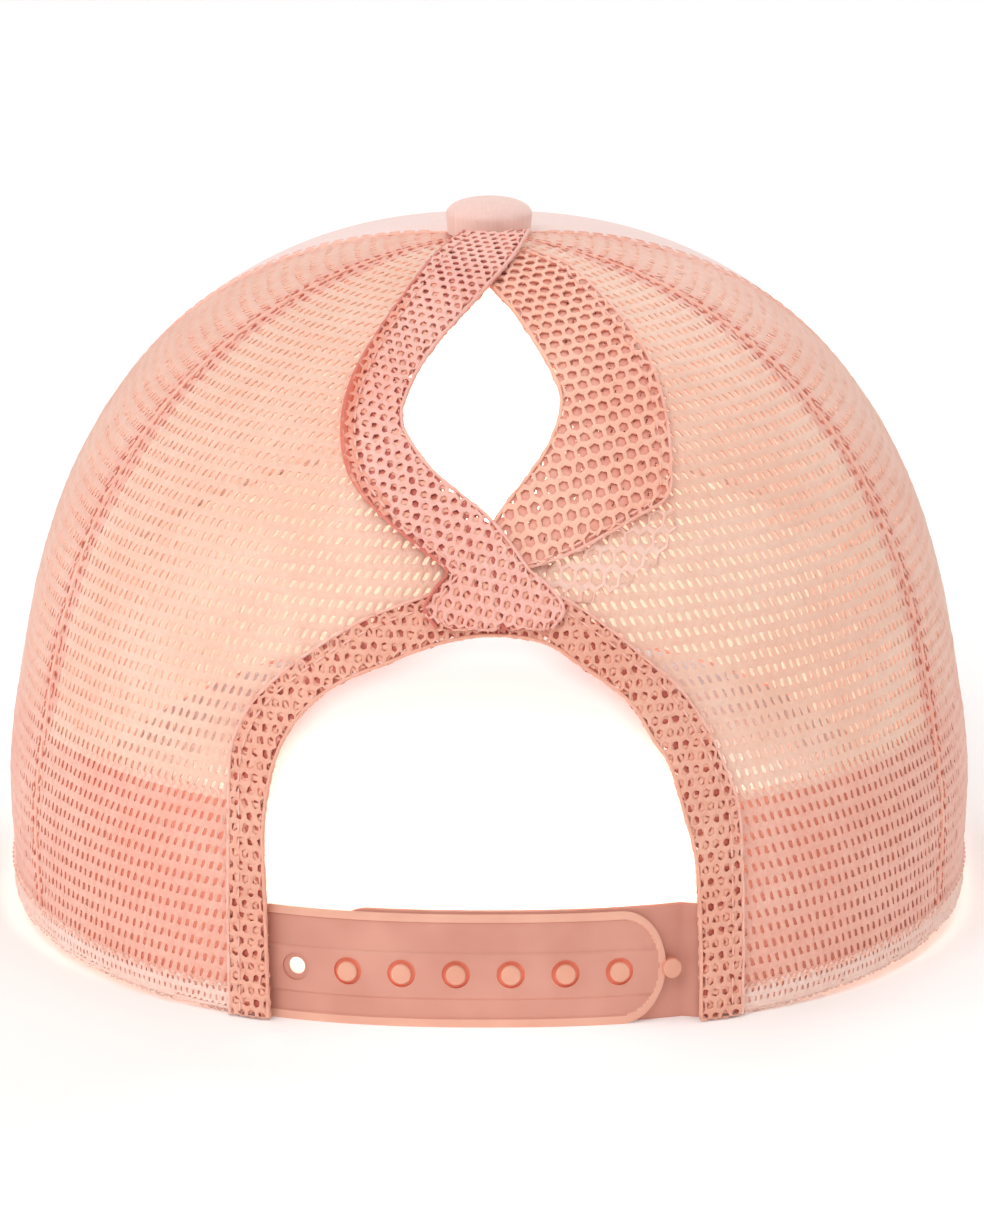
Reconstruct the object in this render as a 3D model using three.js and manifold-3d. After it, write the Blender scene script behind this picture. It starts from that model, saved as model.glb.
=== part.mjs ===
// A net-backed cap with a solid front panel, a curved peak, a criss-cross ponytail hole and a snap strap.
// Millimetres, +Z up. The back of the cap faces +Y, the peak points to -Y, and the cap stands on z = 0.
// "Left" is the +X side, which is on the left when one looks at the back of the cap.
import * as THREE from 'three';
import { mergeVertices } from 'three/addons/utils/BufferGeometryUtils.js';
import Module from 'manifold-3d';

const wasm = await Module();
wasm.setup();

// Crown: its plan is a rounded ellipse, longer to the front, and its rim rises towards the front.
const crownWidth = 172;
const crownBackLength = 96;
const crownFrontLength = 100;
const crownHeight = 119.5;
const sideRimRise = 3;
const frontRimRise = 20;
const planSquareness = 2.3;
const backSlope = { spread: 2.08, lift: 3 };
const frontSlope = { spread: 2.3, lift: 3.2 };
// The sides swell a little just above the hem.
const hemSwell = { out: 1.2, height: 24, reach: 14 };

// Walls and the clearance that neighbouring pieces keep.
const netWall = 1.2;
const bandWall = 1.2;
const frontWall = 2;
const gap = 0.3;

// Seams, as turns round the crown from the middle of the back, in degrees.
const backSeamTurn = 66;
const frontSeamTurn = 105;
// All panels stop this many degrees up the crown, round a small hole below the button.
const topClimb = 87;
const fullTurn = 360;

// The sweatband draws in from the net to the thicker front over its last degrees before the seam.
const sweatband = { height: 35, wall: 2, hemInset: 0.6, easeTurn: 8 };
const button = { radius: 7.75, height: 4.2, edge: 1.6, shankRadius: 2.6, shankLength: 3.4 };
// The peak's corners lie this far outside and ahead of the two ends of its root.
const peak = { length: 68, wall: 3, rootTurn: 62, cornerOut: 7, cornerAhead: 18, squareness: 2.3 };
// The peak's root stands this much higher than the rim, so that it covers the rim's edge.
const peakRootCover = 1.2;

// Snap strap: its two halves overlap, and each peg stands in a hole.
const strap = { width: 20.2, plate: 1, relief: 0.4, holeRadius: 2.25, pastLastHole: 7.5 };
const peg = { pitch: 9.5, count: 7, radius: 1.6, proud: 0.9, offMiddle: 0.25, pastLastPeg: 5 };
// Beside its free peg the under strap steps out to the net. The step has this clearance and this length.
const strapStep = { clearance: 0.6, length: 3.2 };

// Arch over the strap. Each row is one place along the hem, from the left foot to the right foot.
// x columns are shares of the half width, z columns are shares of the height.
const arch = { halfWidth: 37, height: 67.6 };
const archRows = [
  { innerX: 1.016, innerZ: 0.009, outerX: 1.192, outerZ: 0.009 },
  { innerX: 1.024, innerZ: 0.18, outerX: 1.195, outerZ: 0.18 },
  { innerX: 1.032, innerZ: 0.355, outerX: 1.195, outerZ: 0.355 },
  { innerX: 1.038, innerZ: 0.503, outerX: 1.192, outerZ: 0.518 },
  { innerX: 1.0, innerZ: 0.643, outerX: 1.178, outerZ: 0.688 },
  { innerX: 0.924, innerZ: 0.747, outerX: 1.086, outerZ: 0.806 },
  { innerX: 0.811, innerZ: 0.825, outerX: 0.946, outerZ: 0.888 },
  { innerX: 0.662, innerZ: 0.885, outerX: 0.778, outerZ: 0.959 },
  { innerX: 0.47, innerZ: 0.929, outerX: 0.581, outerZ: 1.025 },
  { innerX: 0.257, innerZ: 0.975, outerX: 0.324, outerZ: 1.08 },
  { innerX: 0, innerZ: 1, outerX: 0, outerZ: 1.124 },
  { innerX: -0.257, innerZ: 0.981, outerX: -0.311, outerZ: 1.087 },
  { innerX: -0.419, innerZ: 0.926, outerX: -0.554, outerZ: 1.006 },
  { innerX: -0.559, innerZ: 0.874, outerX: -0.727, outerZ: 0.925 },
  { innerX: -0.665, innerZ: 0.818, outerX: -0.865, outerZ: 0.858 },
  { innerX: -0.741, innerZ: 0.747, outerX: -0.978, outerZ: 0.769 },
  { innerX: -0.827, innerZ: 0.673, outerX: -1.068, outerZ: 0.666 },
  { innerX: -0.897, innerZ: 0.547, outerX: -1.141, outerZ: 0.547 },
  { innerX: -0.954, innerZ: 0.414, outerX: -1.159, outerZ: 0.399 },
  { innerX: -0.973, innerZ: 0.207, outerX: -1.165, outerZ: 0.207 },
  { innerX: -0.976, innerZ: 0.009, outerX: -1.165, outerZ: 0.009 },
];

// Ponytail hole. The two hems cross below it and above it, the left one on top.
// at is 0 at the hole's lower tip and 1 at its upper tip. Below 0 it is a share of the bridge down to the
// arch, and above 1 it adds a share of the way up to the top. inner and outer are shares of the half width.
// layer 0 lies on the net, layer 1 lies on the other hem.
const hole = { halfWidth: 14.5, bridge: 16.8, topClimb: 71.8 };
const leftBandRows = [
  { at: -0.96, inner: -0.72, outer: 0.6, layer: 1 },
  { at: -0.786, inner: -0.86, outer: 0.74, layer: 1 },
  { at: -0.577, inner: -0.69, outer: 0.6, layer: 1 },
  { at: -0.435, inner: -0.47, outer: 0.48, layer: 1 },
  { at: -0.244, inner: -0.29, outer: 0.79, layer: 1 },
  { at: 0, inner: -0.04, outer: 1.19, layer: 1 },
  { at: 0.079, inner: 0.28, outer: 1.46, layer: 0.5 },
  { at: 0.192, inner: 0.72, outer: 1.66, layer: 0 },
  { at: 0.345, inner: 1.03, outer: 1.7, layer: 0 },
  { at: 0.508, inner: 0.92, outer: 1.59, layer: 0 },
  { at: 0.695, inner: 0.62, outer: 1.35, layer: 0 },
  { at: 0.887, inner: 0.2, outer: 1.03, layer: 0.5 },
  { at: 1, inner: -0.04, outer: 0.84, layer: 1 },
  { at: 1.408, inner: -0.3, outer: 0.6, layer: 1 },
  { at: 1.829, inner: -0.47, outer: 0.31, layer: 1 },
];
const rightBandRows = [
  { at: -0.417, inner: 0.3, outer: -0.36, layer: 0 },
  { at: -0.262, inner: 0.24, outer: -0.96, layer: 0 },
  { at: 0, inner: -0.04, outer: -1.66, layer: 0 },
  { at: 0.062, inner: -0.19, outer: -2.08, layer: 0 },
  { at: 0.158, inner: -0.46, outer: -2.13, layer: 0 },
  { at: 0.274, inner: -0.72, outer: -2.11, layer: 0 },
  { at: 0.427, inner: -0.86, outer: -2.03, layer: 0 },
  { at: 0.565, inner: -0.74, outer: -1.9, layer: 0 },
  { at: 0.695, inner: -0.55, outer: -1.71, layer: 0 },
  { at: 0.859, inner: -0.3, outer: -1.43, layer: 0 },
  { at: 1, inner: -0.04, outer: -1.17, layer: 0 },
  { at: 1.289, inner: 0.14, outer: -0.92, layer: 0 },
  { at: 1.579, inner: 0.14, outer: -0.52, layer: 0 },
];
// The net ends under the hems, this share of their width from their free edge, and this share past the tips.
const netUnderHem = 0.25;
const netBeyondTip = 0.12;

// How finely the sheets are divided.
const divisions = {
  front: 20, side: 7, back: 7, climb: 13, band: 4, archHem: 3, sweatband: 46, peak: 24, strap: 26,
};

const colours = {
  net: 0xf4b8a6,
  hem: 0xee9f8c,
  front: 0xf6dcd6,
  sweatband: 0xe8a08f,
  strap: 0xdfa08c,
  peg: 0xeab39a,
  button: 0xecb6a8,
  peak: 0xefb4a6,
};

const radians = THREE.MathUtils.degToRad;
const mix = THREE.MathUtils.lerp;
const signedPower = (value, exponent) => Math.sign(value) * Math.abs(value) ** exponent;

// How far a turn faces the front: 0 over the whole back half, 1 straight ahead.
const frontShare = (turn) => Math.min(0, Math.cos(turn)) ** 2;
const rimHeight = (turn) => sideRimRise * Math.sin(turn) ** 2 + frontRimRise * frontShare(turn);
const spreadPower = (turn) => 2 / mix(backSlope.spread, frontSlope.spread, frontShare(turn));
const liftPower = (turn) => 2 / mix(backSlope.lift, frontSlope.lift, frontShare(turn));

function halfWidthAt(height) {
  const away = (height - hemSwell.height) / hemSwell.reach;
  return crownWidth / 2 + hemSwell.out * Math.exp(-(away ** 2));
}

// The outer skin of the crown. turn goes round from the back, climb goes from the rim to the top.
function crownPoint(turn, climb) {
  const spread = Math.cos(climb) ** spreadPower(turn);
  const rim = rimHeight(turn);
  const height = rim + (crownHeight - rim) * Math.sin(climb) ** liftPower(turn);
  const length = Math.cos(turn) > 0 ? crownBackLength : crownFrontLength;
  return new THREE.Vector3(
    halfWidthAt(height) * signedPower(Math.sin(turn), 2 / planSquareness) * spread,
    length * signedPower(Math.cos(turn), 2 / planSquareness) * spread,
    height,
  );
}

function skinPoint(turn, climb, out) {
  const step = 1e-4;
  const around = crownPoint(turn + step, climb).sub(crownPoint(turn - step, climb));
  const up = crownPoint(turn, climb + step).sub(crownPoint(turn, Math.max(0, climb - step)));
  return crownPoint(turn, climb).addScaledVector(up.cross(around).normalize(), out);
}

// The climb at which the skin has risen to this height above its own rim.
function climbAbove(turn, rise) {
  const share = Math.max(0, rise) / (crownHeight - rimHeight(turn));
  return Math.asin(Math.min(1, share) ** (1 / liftPower(turn)));
}

// The turn on the back half at which the skin is this far to the side.
function turnAt(x, climb) {
  const spread = Math.cos(climb) ** spreadPower(0);
  const halfWidth = halfWidthAt(crownHeight * Math.sin(climb) ** liftPower(0));
  const share = Math.min(1, Math.abs(x) / (halfWidth * spread));
  return Math.sign(x) * Math.asin(share ** (planSquareness / 2));
}

// The place on the back half with this x and z, as a turn and a climb.
function placeAt(x, z) {
  let turn = 0;
  let climb = 0;
  for (let pass = 0; pass < 6; pass++) {
    climb = climbAbove(turn, z - rimHeight(turn));
    turn = turnAt(x, climb);
  }
  return { turn, climb };
}

// The turn that lies this many millimetres beside another one, at one climb.
function beside(turn, climb, distance) {
  const step = 1e-3;
  const speed = crownPoint(turn + step, climb).distanceTo(crownPoint(turn, climb)) / step;
  return turn + distance / speed;
}

// A value read from a table of rows, in straight steps between them.
function tableValue(rows, keyName, key, valueOf) {
  const last = rows.length - 1;
  if (key <= rows[0][keyName]) return valueOf(rows[0]);
  if (key >= rows[last][keyName]) return valueOf(rows[last]);
  const next = rows.findIndex((row) => row[keyName] > key);
  const from = rows[next - 1];
  const to = rows[next];
  const share = (key - from[keyName]) / (to[keyName] - from[keyName]);
  return mix(valueOf(from), valueOf(to), share);
}

function geometryOf(positions, triangles) {
  const geometry = new THREE.BufferGeometry();
  geometry.setAttribute('position', new THREE.BufferAttribute(new Float32Array(positions), 3));
  geometry.setIndex(triangles);
  return geometry;
}

function signedVolume(positions, triangles) {
  const corner = (index) => new THREE.Vector3().fromArray(positions, 3 * index);
  let volume = 0;
  for (let first = 0; first < triangles.length; first += 3) {
    const [a, b, c] = [0, 1, 2].map((offset) => corner(triangles[first + offset]));
    volume += a.dot(b.cross(c)) / 6;
  }
  return volume;
}

// A closed wall between two skins of the same grid. pointAt(column, row, skin) has skin 0 outside, 1 inside.
function closedSheet(columns, rows, pointAt) {
  const positions = [];
  for (const skin of [0, 1]) {
    for (let row = 0; row <= rows; row++) {
      for (let column = 0; column <= columns; column++) {
        positions.push(...pointAt(column, row, skin).toArray());
      }
    }
  }
  const index = (column, row, skin) => (skin * (rows + 1) + row) * (columns + 1) + column;
  const triangles = [];
  const quad = (a, b, c, d) => triangles.push(a, b, c, a, c, d);
  for (let row = 0; row < rows; row++) {
    for (let column = 0; column < columns; column++) {
      const corners = [[column, row], [column + 1, row], [column + 1, row + 1], [column, row + 1]];
      quad(...corners.map(([c, r]) => index(c, r, 0)));
      quad(...corners.map(([c, r]) => index(c, r, 1)).reverse());
    }
  }
  const edge = (a, b) => quad(index(...b, 0), index(...a, 0), index(...a, 1), index(...b, 1));
  for (let column = 0; column < columns; column++) {
    edge([column, 0], [column + 1, 0]);
    edge([column + 1, rows], [column, rows]);
  }
  for (let row = 0; row < rows; row++) {
    edge([columns, row], [columns, row + 1]);
    edge([0, row + 1], [0, row]);
  }
  if (signedVolume(positions, triangles) < 0) triangles.reverse();
  return geometryOf(positions, triangles);
}

function toSolid(geometry) {
  const bare = geometry.index ? geometry.clone() : mergeVertices(geometry.clone());
  bare.deleteAttribute('normal');
  bare.deleteAttribute('uv');
  const merged = mergeVertices(bare, 1e-4);
  return new wasm.Manifold(new wasm.Mesh({
    numProp: 3,
    vertProperties: new Float32Array(merged.attributes.position.array),
    triVerts: new Uint32Array(merged.index.array),
  }));
}

function fromSolid(solid) {
  const mesh = solid.getMesh();
  return geometryOf(Array.from(mesh.vertProperties), Array.from(mesh.triVerts));
}

const cap = new THREE.Group();

function addPiece(name, geometry, colour, roughness = 0.9) {
  const material = new THREE.MeshStandardMaterial({ color: colour, roughness, metalness: 0 });
  const mesh = new THREE.Mesh(geometry, material);
  mesh.name = name;
  cap.add(mesh);
}

// A panel between two seams, with rows closer together near the rim, where the skin climbs fastest.
function seamPanel(fromTurn, toTurn, columns, wall) {
  const rowClimb = (row) => radians(topClimb) * (row / divisions.climb) ** 1.6;
  return closedSheet(columns, divisions.climb, (column, row, skin) => {
    const climb = rowClimb(row);
    const start = beside(radians(fromTurn), climb, gap / 2);
    const end = beside(radians(toTurn), climb, -gap / 2);
    return skinPoint(mix(start, end, column / columns), climb, -wall * skin);
  });
}

const archPoint = (row, share) => ({
  x: arch.halfWidth * mix(row.innerX, row.outerX, share),
  z: arch.height * mix(row.innerZ, row.outerZ, share),
});

const holeBottomClimb = climbAbove(0, arch.height + hole.bridge);

// The climb of a place along the hole's hems, as their tables give it.
function hemClimb(at) {
  if (at < 0) return climbAbove(0, arch.height + hole.bridge * (1 + at));
  if (at <= 1) return mix(holeBottomClimb, radians(hole.topClimb), at);
  return mix(radians(hole.topClimb), radians(topClimb), at - 1);
}

// The free edge of a back panel, from the rim to the top: up the arch, along the middle and round the hole.
function freeEdge(side) {
  const middle = { x: side * gap / 2 };
  const archSide = archRows.filter((row) => row.innerX * side > 0);
  const fromRim = side > 0 ? archSide : archSide.reverse();
  const bandRows = side > 0 ? leftBandRows : rightBandRows;
  const alongArch = fromRim.map((row, number) => {
    const point = archPoint(row, netUnderHem);
    const place = placeAt(point.x, number === 0 ? 0 : point.z);
    return { climb: place.climb, x: point.x };
  });
  const archMiddle = archRows.find((row) => row.innerX === 0);
  const archTop = placeAt(middle.x, archPoint(archMiddle, netUnderHem).z);
  const aroundHole = bandRows
    .filter((row) => row.at > 0 && row.at < 1)
    .map((row) => ({ climb: hemClimb(row.at), x: hole.halfWidth * mix(row.inner, row.outer, netUnderHem) }));
  return [
    ...alongArch,
    { climb: archTop.climb, x: middle.x },
    { climb: hemClimb(-netBeyondTip), x: middle.x },
    ...aroundHole,
    { climb: hemClimb(1 + netBeyondTip), x: middle.x },
    { climb: hemClimb(1.5), x: middle.x },
    { climb: hemClimb(2), x: middle.x },
  ];
}

function backPanel(side) {
  const edgeRows = freeEdge(side);
  return closedSheet(divisions.back, edgeRows.length - 1, (column, row, skin) => {
    const { climb, x } = edgeRows[row];
    const seam = side * beside(radians(backSeamTurn), climb, -gap / 2);
    const turn = mix(seam, turnAt(x, climb), column / divisions.back);
    return skinPoint(turn, climb, -netWall * skin);
  });
}

// A folded hem of the ponytail hole. Its layer lifts it over the hem that it crosses.
function ponytailBand(rows) {
  return closedSheet(divisions.band, rows.length - 1, (column, row, skin) => {
    const { at, inner, outer, layer } = rows[row];
    const climb = hemClimb(at);
    const x = hole.halfWidth * mix(inner, outer, column / divisions.band);
    const base = gap + layer * (bandWall + gap);
    return skinPoint(turnAt(x, climb), climb, base + bandWall * (1 - skin));
  });
}

function archBand() {
  return closedSheet(divisions.archHem, archRows.length - 1, (column, row, skin) => {
    const point = archPoint(archRows[row], column / divisions.archHem);
    const { turn, climb } = placeAt(point.x, point.z);
    return skinPoint(turn, climb, gap + bandWall * (1 - skin));
  });
}

// Where the arch hem ends outwards at its feet. The strap is sewn in up to here, and the sweatband starts
// here.
const footTurn = (side) => {
  const foot = side > 0 ? archRows[0] : archRows[archRows.length - 1];
  return placeAt(arch.halfWidth * foot.outerX, strap.width / 2).turn;
};

function sweatbandSheet() {
  const start = beside(footTurn(1), 0, gap);
  const end = 2 * Math.PI + beside(footTurn(-1), 0, -gap);
  return closedSheet(divisions.sweatband, 2, (column, row, skin) => {
    const turn = mix(start, end, column / divisions.sweatband);
    const seam = -Math.cos(radians(frontSeamTurn));
    const easeStart = -Math.cos(radians(frontSeamTurn - sweatband.easeTurn));
    const towardsFront = THREE.MathUtils.smoothstep(-Math.cos(turn), easeStart, seam);
    const outside = mix(netWall, frontWall, towardsFront) + gap;
    const climb = climbAbove(turn, mix(sweatband.hemInset, sweatband.height, row / 2));
    return skinPoint(turn, climb, -outside - sweatband.wall * skin);
  });
}

// A cloth covered dome with a shank that stands in the hole between the panels.
function buttonSolid() {
  const base = crownHeight + gap;
  const profile = [new THREE.Vector2(0, base - button.shankLength)];
  profile.push(new THREE.Vector2(button.shankRadius, base - button.shankLength));
  profile.push(new THREE.Vector2(button.shankRadius, base));
  profile.push(new THREE.Vector2(button.radius - button.edge / 2, base));
  const domeSteps = 5;
  for (let step = 0; step < domeSteps; step++) {
    const angle = (Math.PI / 2) * (step / domeSteps);
    const rise = button.edge + (button.height - button.edge) * Math.sin(angle);
    profile.push(new THREE.Vector2(button.radius * Math.cos(angle) ** 0.7, base + rise));
  }
  profile.push(new THREE.Vector2(0, base + button.height));
  return new THREE.LatheGeometry(profile, 20).rotateX(Math.PI / 2);
}

// The peak is arched from side to side, so that its two side edges stand on the ground.
function peakSheet() {
  const rows = 5;
  const tip = crownFrontLength + peak.length;
  const rootEnd = crownPoint(Math.PI - radians(peak.rootTurn), 0);
  const halfWidth = rootEnd.x + peak.cornerOut;
  const cornerY = -rootEnd.y + peak.cornerAhead;
  const middleTop = frontRimRise + peakRootCover;
  return closedSheet(divisions.peak, rows, (column, row, skin) => {
    const across = mix(-1, 1, column / divisions.peak);
    const root = crownPoint(Math.PI + radians(peak.rootTurn) * across, 0);
    const rootTop = root.z + peakRootCover;
    const outwards = new THREE.Vector3(root.x, root.y, 0).normalize();
    root.addScaledVector(outwards, gap);
    const bend = across * Math.PI / 2;
    const edge = new THREE.Vector3(
      -halfWidth * signedPower(Math.sin(bend), 2 / peak.squareness),
      -cornerY - (tip - cornerY) * Math.abs(Math.cos(bend)) ** (2 / peak.squareness),
      0,
    );
    const point = root.lerp(edge, row / rows);
    const archedTop = mix(middleTop, peak.wall, (point.x / halfWidth) ** 2);
    point.z = mix(rootTop, archedTop, Math.sqrt(row / rows)) - peak.wall * skin;
    return point;
  });
}

// The strap follows the crown's plan. along is measured round the back from its middle.
const strapSamples = [];
for (let degree = -60; degree <= 60; degree += 0.5) {
  const turn = radians(degree);
  const point = crownPoint(turn, climbAbove(turn, strap.width / 2));
  const before = strapSamples[strapSamples.length - 1];
  const stepLength = before ? Math.hypot(point.x - before.x, point.y - before.y) : 0;
  strapSamples.push({ turn, x: point.x, y: point.y, along: before ? before.along + stepLength : 0 });
}
const middleOfStrap = tableValue(strapSamples, 'turn', 0, (row) => row.along);
const strapLength = (turn) => tableValue(strapSamples, 'turn', turn, (row) => row.along) - middleOfStrap;
const strapTurn = (along) => tableValue(strapSamples, 'along', along + middleOfStrap, (row) => row.turn);

function strapPoint(along, up, out) {
  const turn = strapTurn(along);
  const base = crownPoint(turn, climbAbove(turn, strap.width / 2));
  const ahead = crownPoint(turn + 1e-3, climbAbove(turn, strap.width / 2)).sub(base);
  const outwards = new THREE.Vector3(-ahead.y, ahead.x, 0).normalize();
  base.addScaledVector(outwards, out);
  base.z = up;
  return base;
}

// Sections of the holed strap: up is a share of its half width, high tells where the relief stands proud.
const strapSection = [
  { up: -1, high: 1 },
  { up: -0.88, high: 1 },
  { up: -0.84, high: 0 },
  { up: -0.43, high: 0 },
  { up: -0.38, high: 1 },
  { up: 0.38, high: 1 },
  { up: 0.43, high: 0 },
  { up: 0.84, high: 0 },
  { up: 0.88, high: 1 },
  { up: 1, high: 1 },
];

const outerStrapFace = -(netWall + gap);
const outerStrapBack = outerStrapFace - strap.relief - strap.plate;
const underStrapFace = outerStrapBack - gap;

// The free peg is number 0. Beyond it each peg stands in a hole, and the last hole stays open.
const pegPlace = (number) => peg.offMiddle + peg.pitch * (number - peg.count / 2);
const holedEnd = pegPlace(1) - strap.pastLastHole;
const peggedEnd = pegPlace(peg.count - 1) + peg.pastLastPeg;
const stepStart = pegPlace(0) - peg.radius - strapStep.clearance;

// The columns of a strap half: crowded towards the round end, even over the rest.
function strapColumns(roundEnd, farEnd, count) {
  const radius = strap.width / 2;
  const towards = Math.sign(farEnd - roundEnd);
  const roundSteps = 6;
  const columns = [];
  for (let step = 0; step <= roundSteps; step++) {
    const angle = mix(0.12, Math.PI / 2, step / roundSteps);
    const along = roundEnd + towards * radius * (1 - Math.cos(angle));
    columns.push({ along, half: radius * Math.sin(angle) });
  }
  const straightStart = roundEnd + towards * radius;
  const evenSteps = count - roundSteps;
  for (let step = 1; step <= evenSteps; step++) {
    columns.push({ along: mix(straightStart, farEnd, step / evenSteps), half: radius });
  }
  return columns;
}

// A round bar that stands through the strap wall at a place along it.
function strapBar(along, radius, from, to, sides) {
  const bar = new THREE.CylinderGeometry(radius, radius, to - from, sides);
  const foot = strapPoint(along, strap.width / 2, from);
  const head = strapPoint(along, strap.width / 2, to);
  const aim = head.clone().sub(foot).normalize();
  bar.applyQuaternion(new THREE.Quaternion().setFromUnitVectors(new THREE.Vector3(0, 1, 0), aim));
  const middle = foot.lerp(head, 0.5);
  return toSolid(bar.translate(middle.x, middle.y, middle.z));
}

function holedStrap() {
  const columns = strapColumns(holedEnd, strapLength(footTurn(1)), divisions.strap);
  const plate = closedSheet(columns.length - 1, strapSection.length - 1, (column, row, skin) => {
    const { along, half } = columns[column];
    const { up, high } = strapSection[row];
    const face = outerStrapFace - strap.relief * (1 - high);
    return strapPoint(along, strap.width / 2 + up * half, skin ? outerStrapBack : face);
  });
  let solid = toSolid(plate);
  for (let number = 1; number <= peg.count; number++) {
    const from = outerStrapBack - strap.plate;
    const to = outerStrapFace + strap.plate;
    solid = solid.subtract(strapBar(pegPlace(number), strap.holeRadius, from, to, 12));
  }
  return fromSolid(solid);
}

function peggedStrap() {
  const columns = strapColumns(peggedEnd, strapLength(footTurn(-1)), divisions.strap);
  const plate = closedSheet(columns.length - 1, 2, (column, row, skin) => {
    const { along, half } = columns[column];
    const stepShare = THREE.MathUtils.clamp((stepStart - along) / strapStep.length, 0, 1);
    const face = mix(underStrapFace, outerStrapFace, stepShare);
    return strapPoint(along, strap.width / 2 + (row - 1) * half, face - strap.plate * skin);
  });
  let solid = toSolid(plate);
  for (let number = 0; number < peg.count; number++) {
    const from = underStrapFace - strap.plate / 2;
    const to = outerStrapFace + peg.proud;
    solid = solid.add(strapBar(pegPlace(number), peg.radius, from, to, 10));
  }
  return fromSolid(solid);
}

const frontPanel = seamPanel(frontSeamTurn, fullTurn - frontSeamTurn, divisions.front, frontWall);
addPiece('front_panel', frontPanel, colours.front);
addPiece('side_panel_left', seamPanel(backSeamTurn, frontSeamTurn, divisions.side, netWall), colours.net);
addPiece('side_panel_right', seamPanel(-frontSeamTurn, -backSeamTurn, divisions.side, netWall), colours.net);
addPiece('back_panel_left', backPanel(1), colours.net);
addPiece('back_panel_right', backPanel(-1), colours.net);
addPiece('ponytail_band_left', ponytailBand(leftBandRows), colours.hem);
addPiece('ponytail_band_right', ponytailBand(rightBandRows), colours.hem);
addPiece('arch_band', archBand(), colours.hem);
addPiece('sweatband', sweatbandSheet(), colours.sweatband);
addPiece('button', buttonSolid(), colours.button);
addPiece('peak', peakSheet(), colours.peak);
addPiece('strap_with_holes', holedStrap(), colours.strap, 0.5);
addPiece('strap_with_pegs', peggedStrap(), colours.peg, 0.5);

// The part's origin is below the middle of its box, on the ground.
const box = new THREE.Box3().setFromObject(cap);
const centre = box.getCenter(new THREE.Vector3());
cap.position.set(-centre.x, -centre.y, -box.min.z);

export default cap;
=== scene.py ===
# %% [markdown]
# # A mesh-backed cap, seen from behind
# This lesson dresses a construction model of a cap. The construction gives the size and place of each
# piece. Here every piece is made again as cloth, knitted net or moulded plastic, and given its finish.
# It can be read cell by cell, as a notebook. Lengths are in metres, +Z is up, and the back faces +Y.

import math
from contextlib import contextmanager

import bpy
import numpy as np
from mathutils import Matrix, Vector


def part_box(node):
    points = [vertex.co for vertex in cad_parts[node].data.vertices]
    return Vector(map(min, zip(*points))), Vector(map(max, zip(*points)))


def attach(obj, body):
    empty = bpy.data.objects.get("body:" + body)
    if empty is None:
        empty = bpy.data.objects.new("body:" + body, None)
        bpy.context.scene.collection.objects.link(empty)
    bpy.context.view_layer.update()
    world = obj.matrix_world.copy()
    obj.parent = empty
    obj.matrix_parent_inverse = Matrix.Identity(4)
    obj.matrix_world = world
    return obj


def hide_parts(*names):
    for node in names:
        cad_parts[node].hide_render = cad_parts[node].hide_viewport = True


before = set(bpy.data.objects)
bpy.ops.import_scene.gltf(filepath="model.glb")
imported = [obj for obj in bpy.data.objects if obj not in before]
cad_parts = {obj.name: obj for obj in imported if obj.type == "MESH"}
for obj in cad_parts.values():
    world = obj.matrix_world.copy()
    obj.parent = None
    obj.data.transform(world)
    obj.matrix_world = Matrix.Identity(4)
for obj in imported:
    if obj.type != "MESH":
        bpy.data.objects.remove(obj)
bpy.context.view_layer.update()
MM = 0.001
print("construction pieces:", ", ".join(sorted(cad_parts)))

# %% [markdown]
# ## Small helpers
# An operator works on everything that is selected, so each step first selects one piece alone. A
# piece's points are read and written as one table of places, which is how a flat cloth is laid on
# a round form later on.


# %% Select, apply, read and move
def take(piece):
    """Selects one piece alone and makes it the active one."""
    bpy.ops.object.select_all(action="DESELECT")
    piece.select_set(True)
    bpy.context.view_layer.objects.active = piece


@contextmanager
def editing(piece, everything=True):
    """Edit mode for the steps inside the with block, with all of a piece selected, or as it was."""
    take(piece)
    bpy.ops.object.mode_set(mode="EDIT")
    if everything:
        bpy.ops.mesh.select_all(action="SELECT")
    yield
    bpy.ops.object.mode_set(mode="OBJECT")


def name_piece(name):
    """Names the object that an operator has just added, and returns it."""
    piece = bpy.context.active_object
    piece.name = name
    piece.data.name = name
    return piece


def apply_modifier(piece, kind, **settings):
    """Adds one modifier with its settings and applies it at once."""
    take(piece)
    bpy.ops.object.modifier_add(type=kind)
    modifier = piece.modifiers[-1]
    for key, value in settings.items():
        setattr(modifier, key, value)
    bpy.ops.object.modifier_apply(modifier=modifier.name)


def repeat(piece, count, step):
    """Copies a piece in a row, each copy this step further."""
    apply_modifier(
        piece, "ARRAY", count=count, use_relative_offset=False,
        use_constant_offset=True, constant_offset_displace=step,
    )


def places(piece):
    """The places of a piece's points, one row each."""
    flat = np.empty(3 * len(piece.data.vertices))
    piece.data.vertices.foreach_get("co", flat)
    return flat.reshape(-1, 3)


def move_to(piece, points):
    """Moves a piece's points to new places."""
    piece.data.vertices.foreach_set("co", np.asarray(points, dtype=float).ravel())
    piece.data.update()


def pick(piece, kind, chosen):
    """Selects just these faces or edges, told by one true or false for each."""
    bpy.context.tool_settings.mesh_select_mode = (False, kind == "edges", kind == "polygons")
    for part in ("vertices", "edges", "polygons"):
        items = getattr(piece.data, part)
        items.foreach_set("select", chosen if part == kind else np.zeros(len(items), dtype=bool))


def lengths_along(line):
    """The length along a line at each of its points."""
    steps = np.linalg.norm(np.diff(line, axis=0), axis=1)
    return np.concatenate([[0], np.cumsum(steps)])


def face_centres(piece):
    """The middle of each face, one row each."""
    flat = np.empty(3 * len(piece.data.polygons))
    piece.data.polygons.foreach_get("center", flat)
    return flat.reshape(-1, 3)


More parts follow.
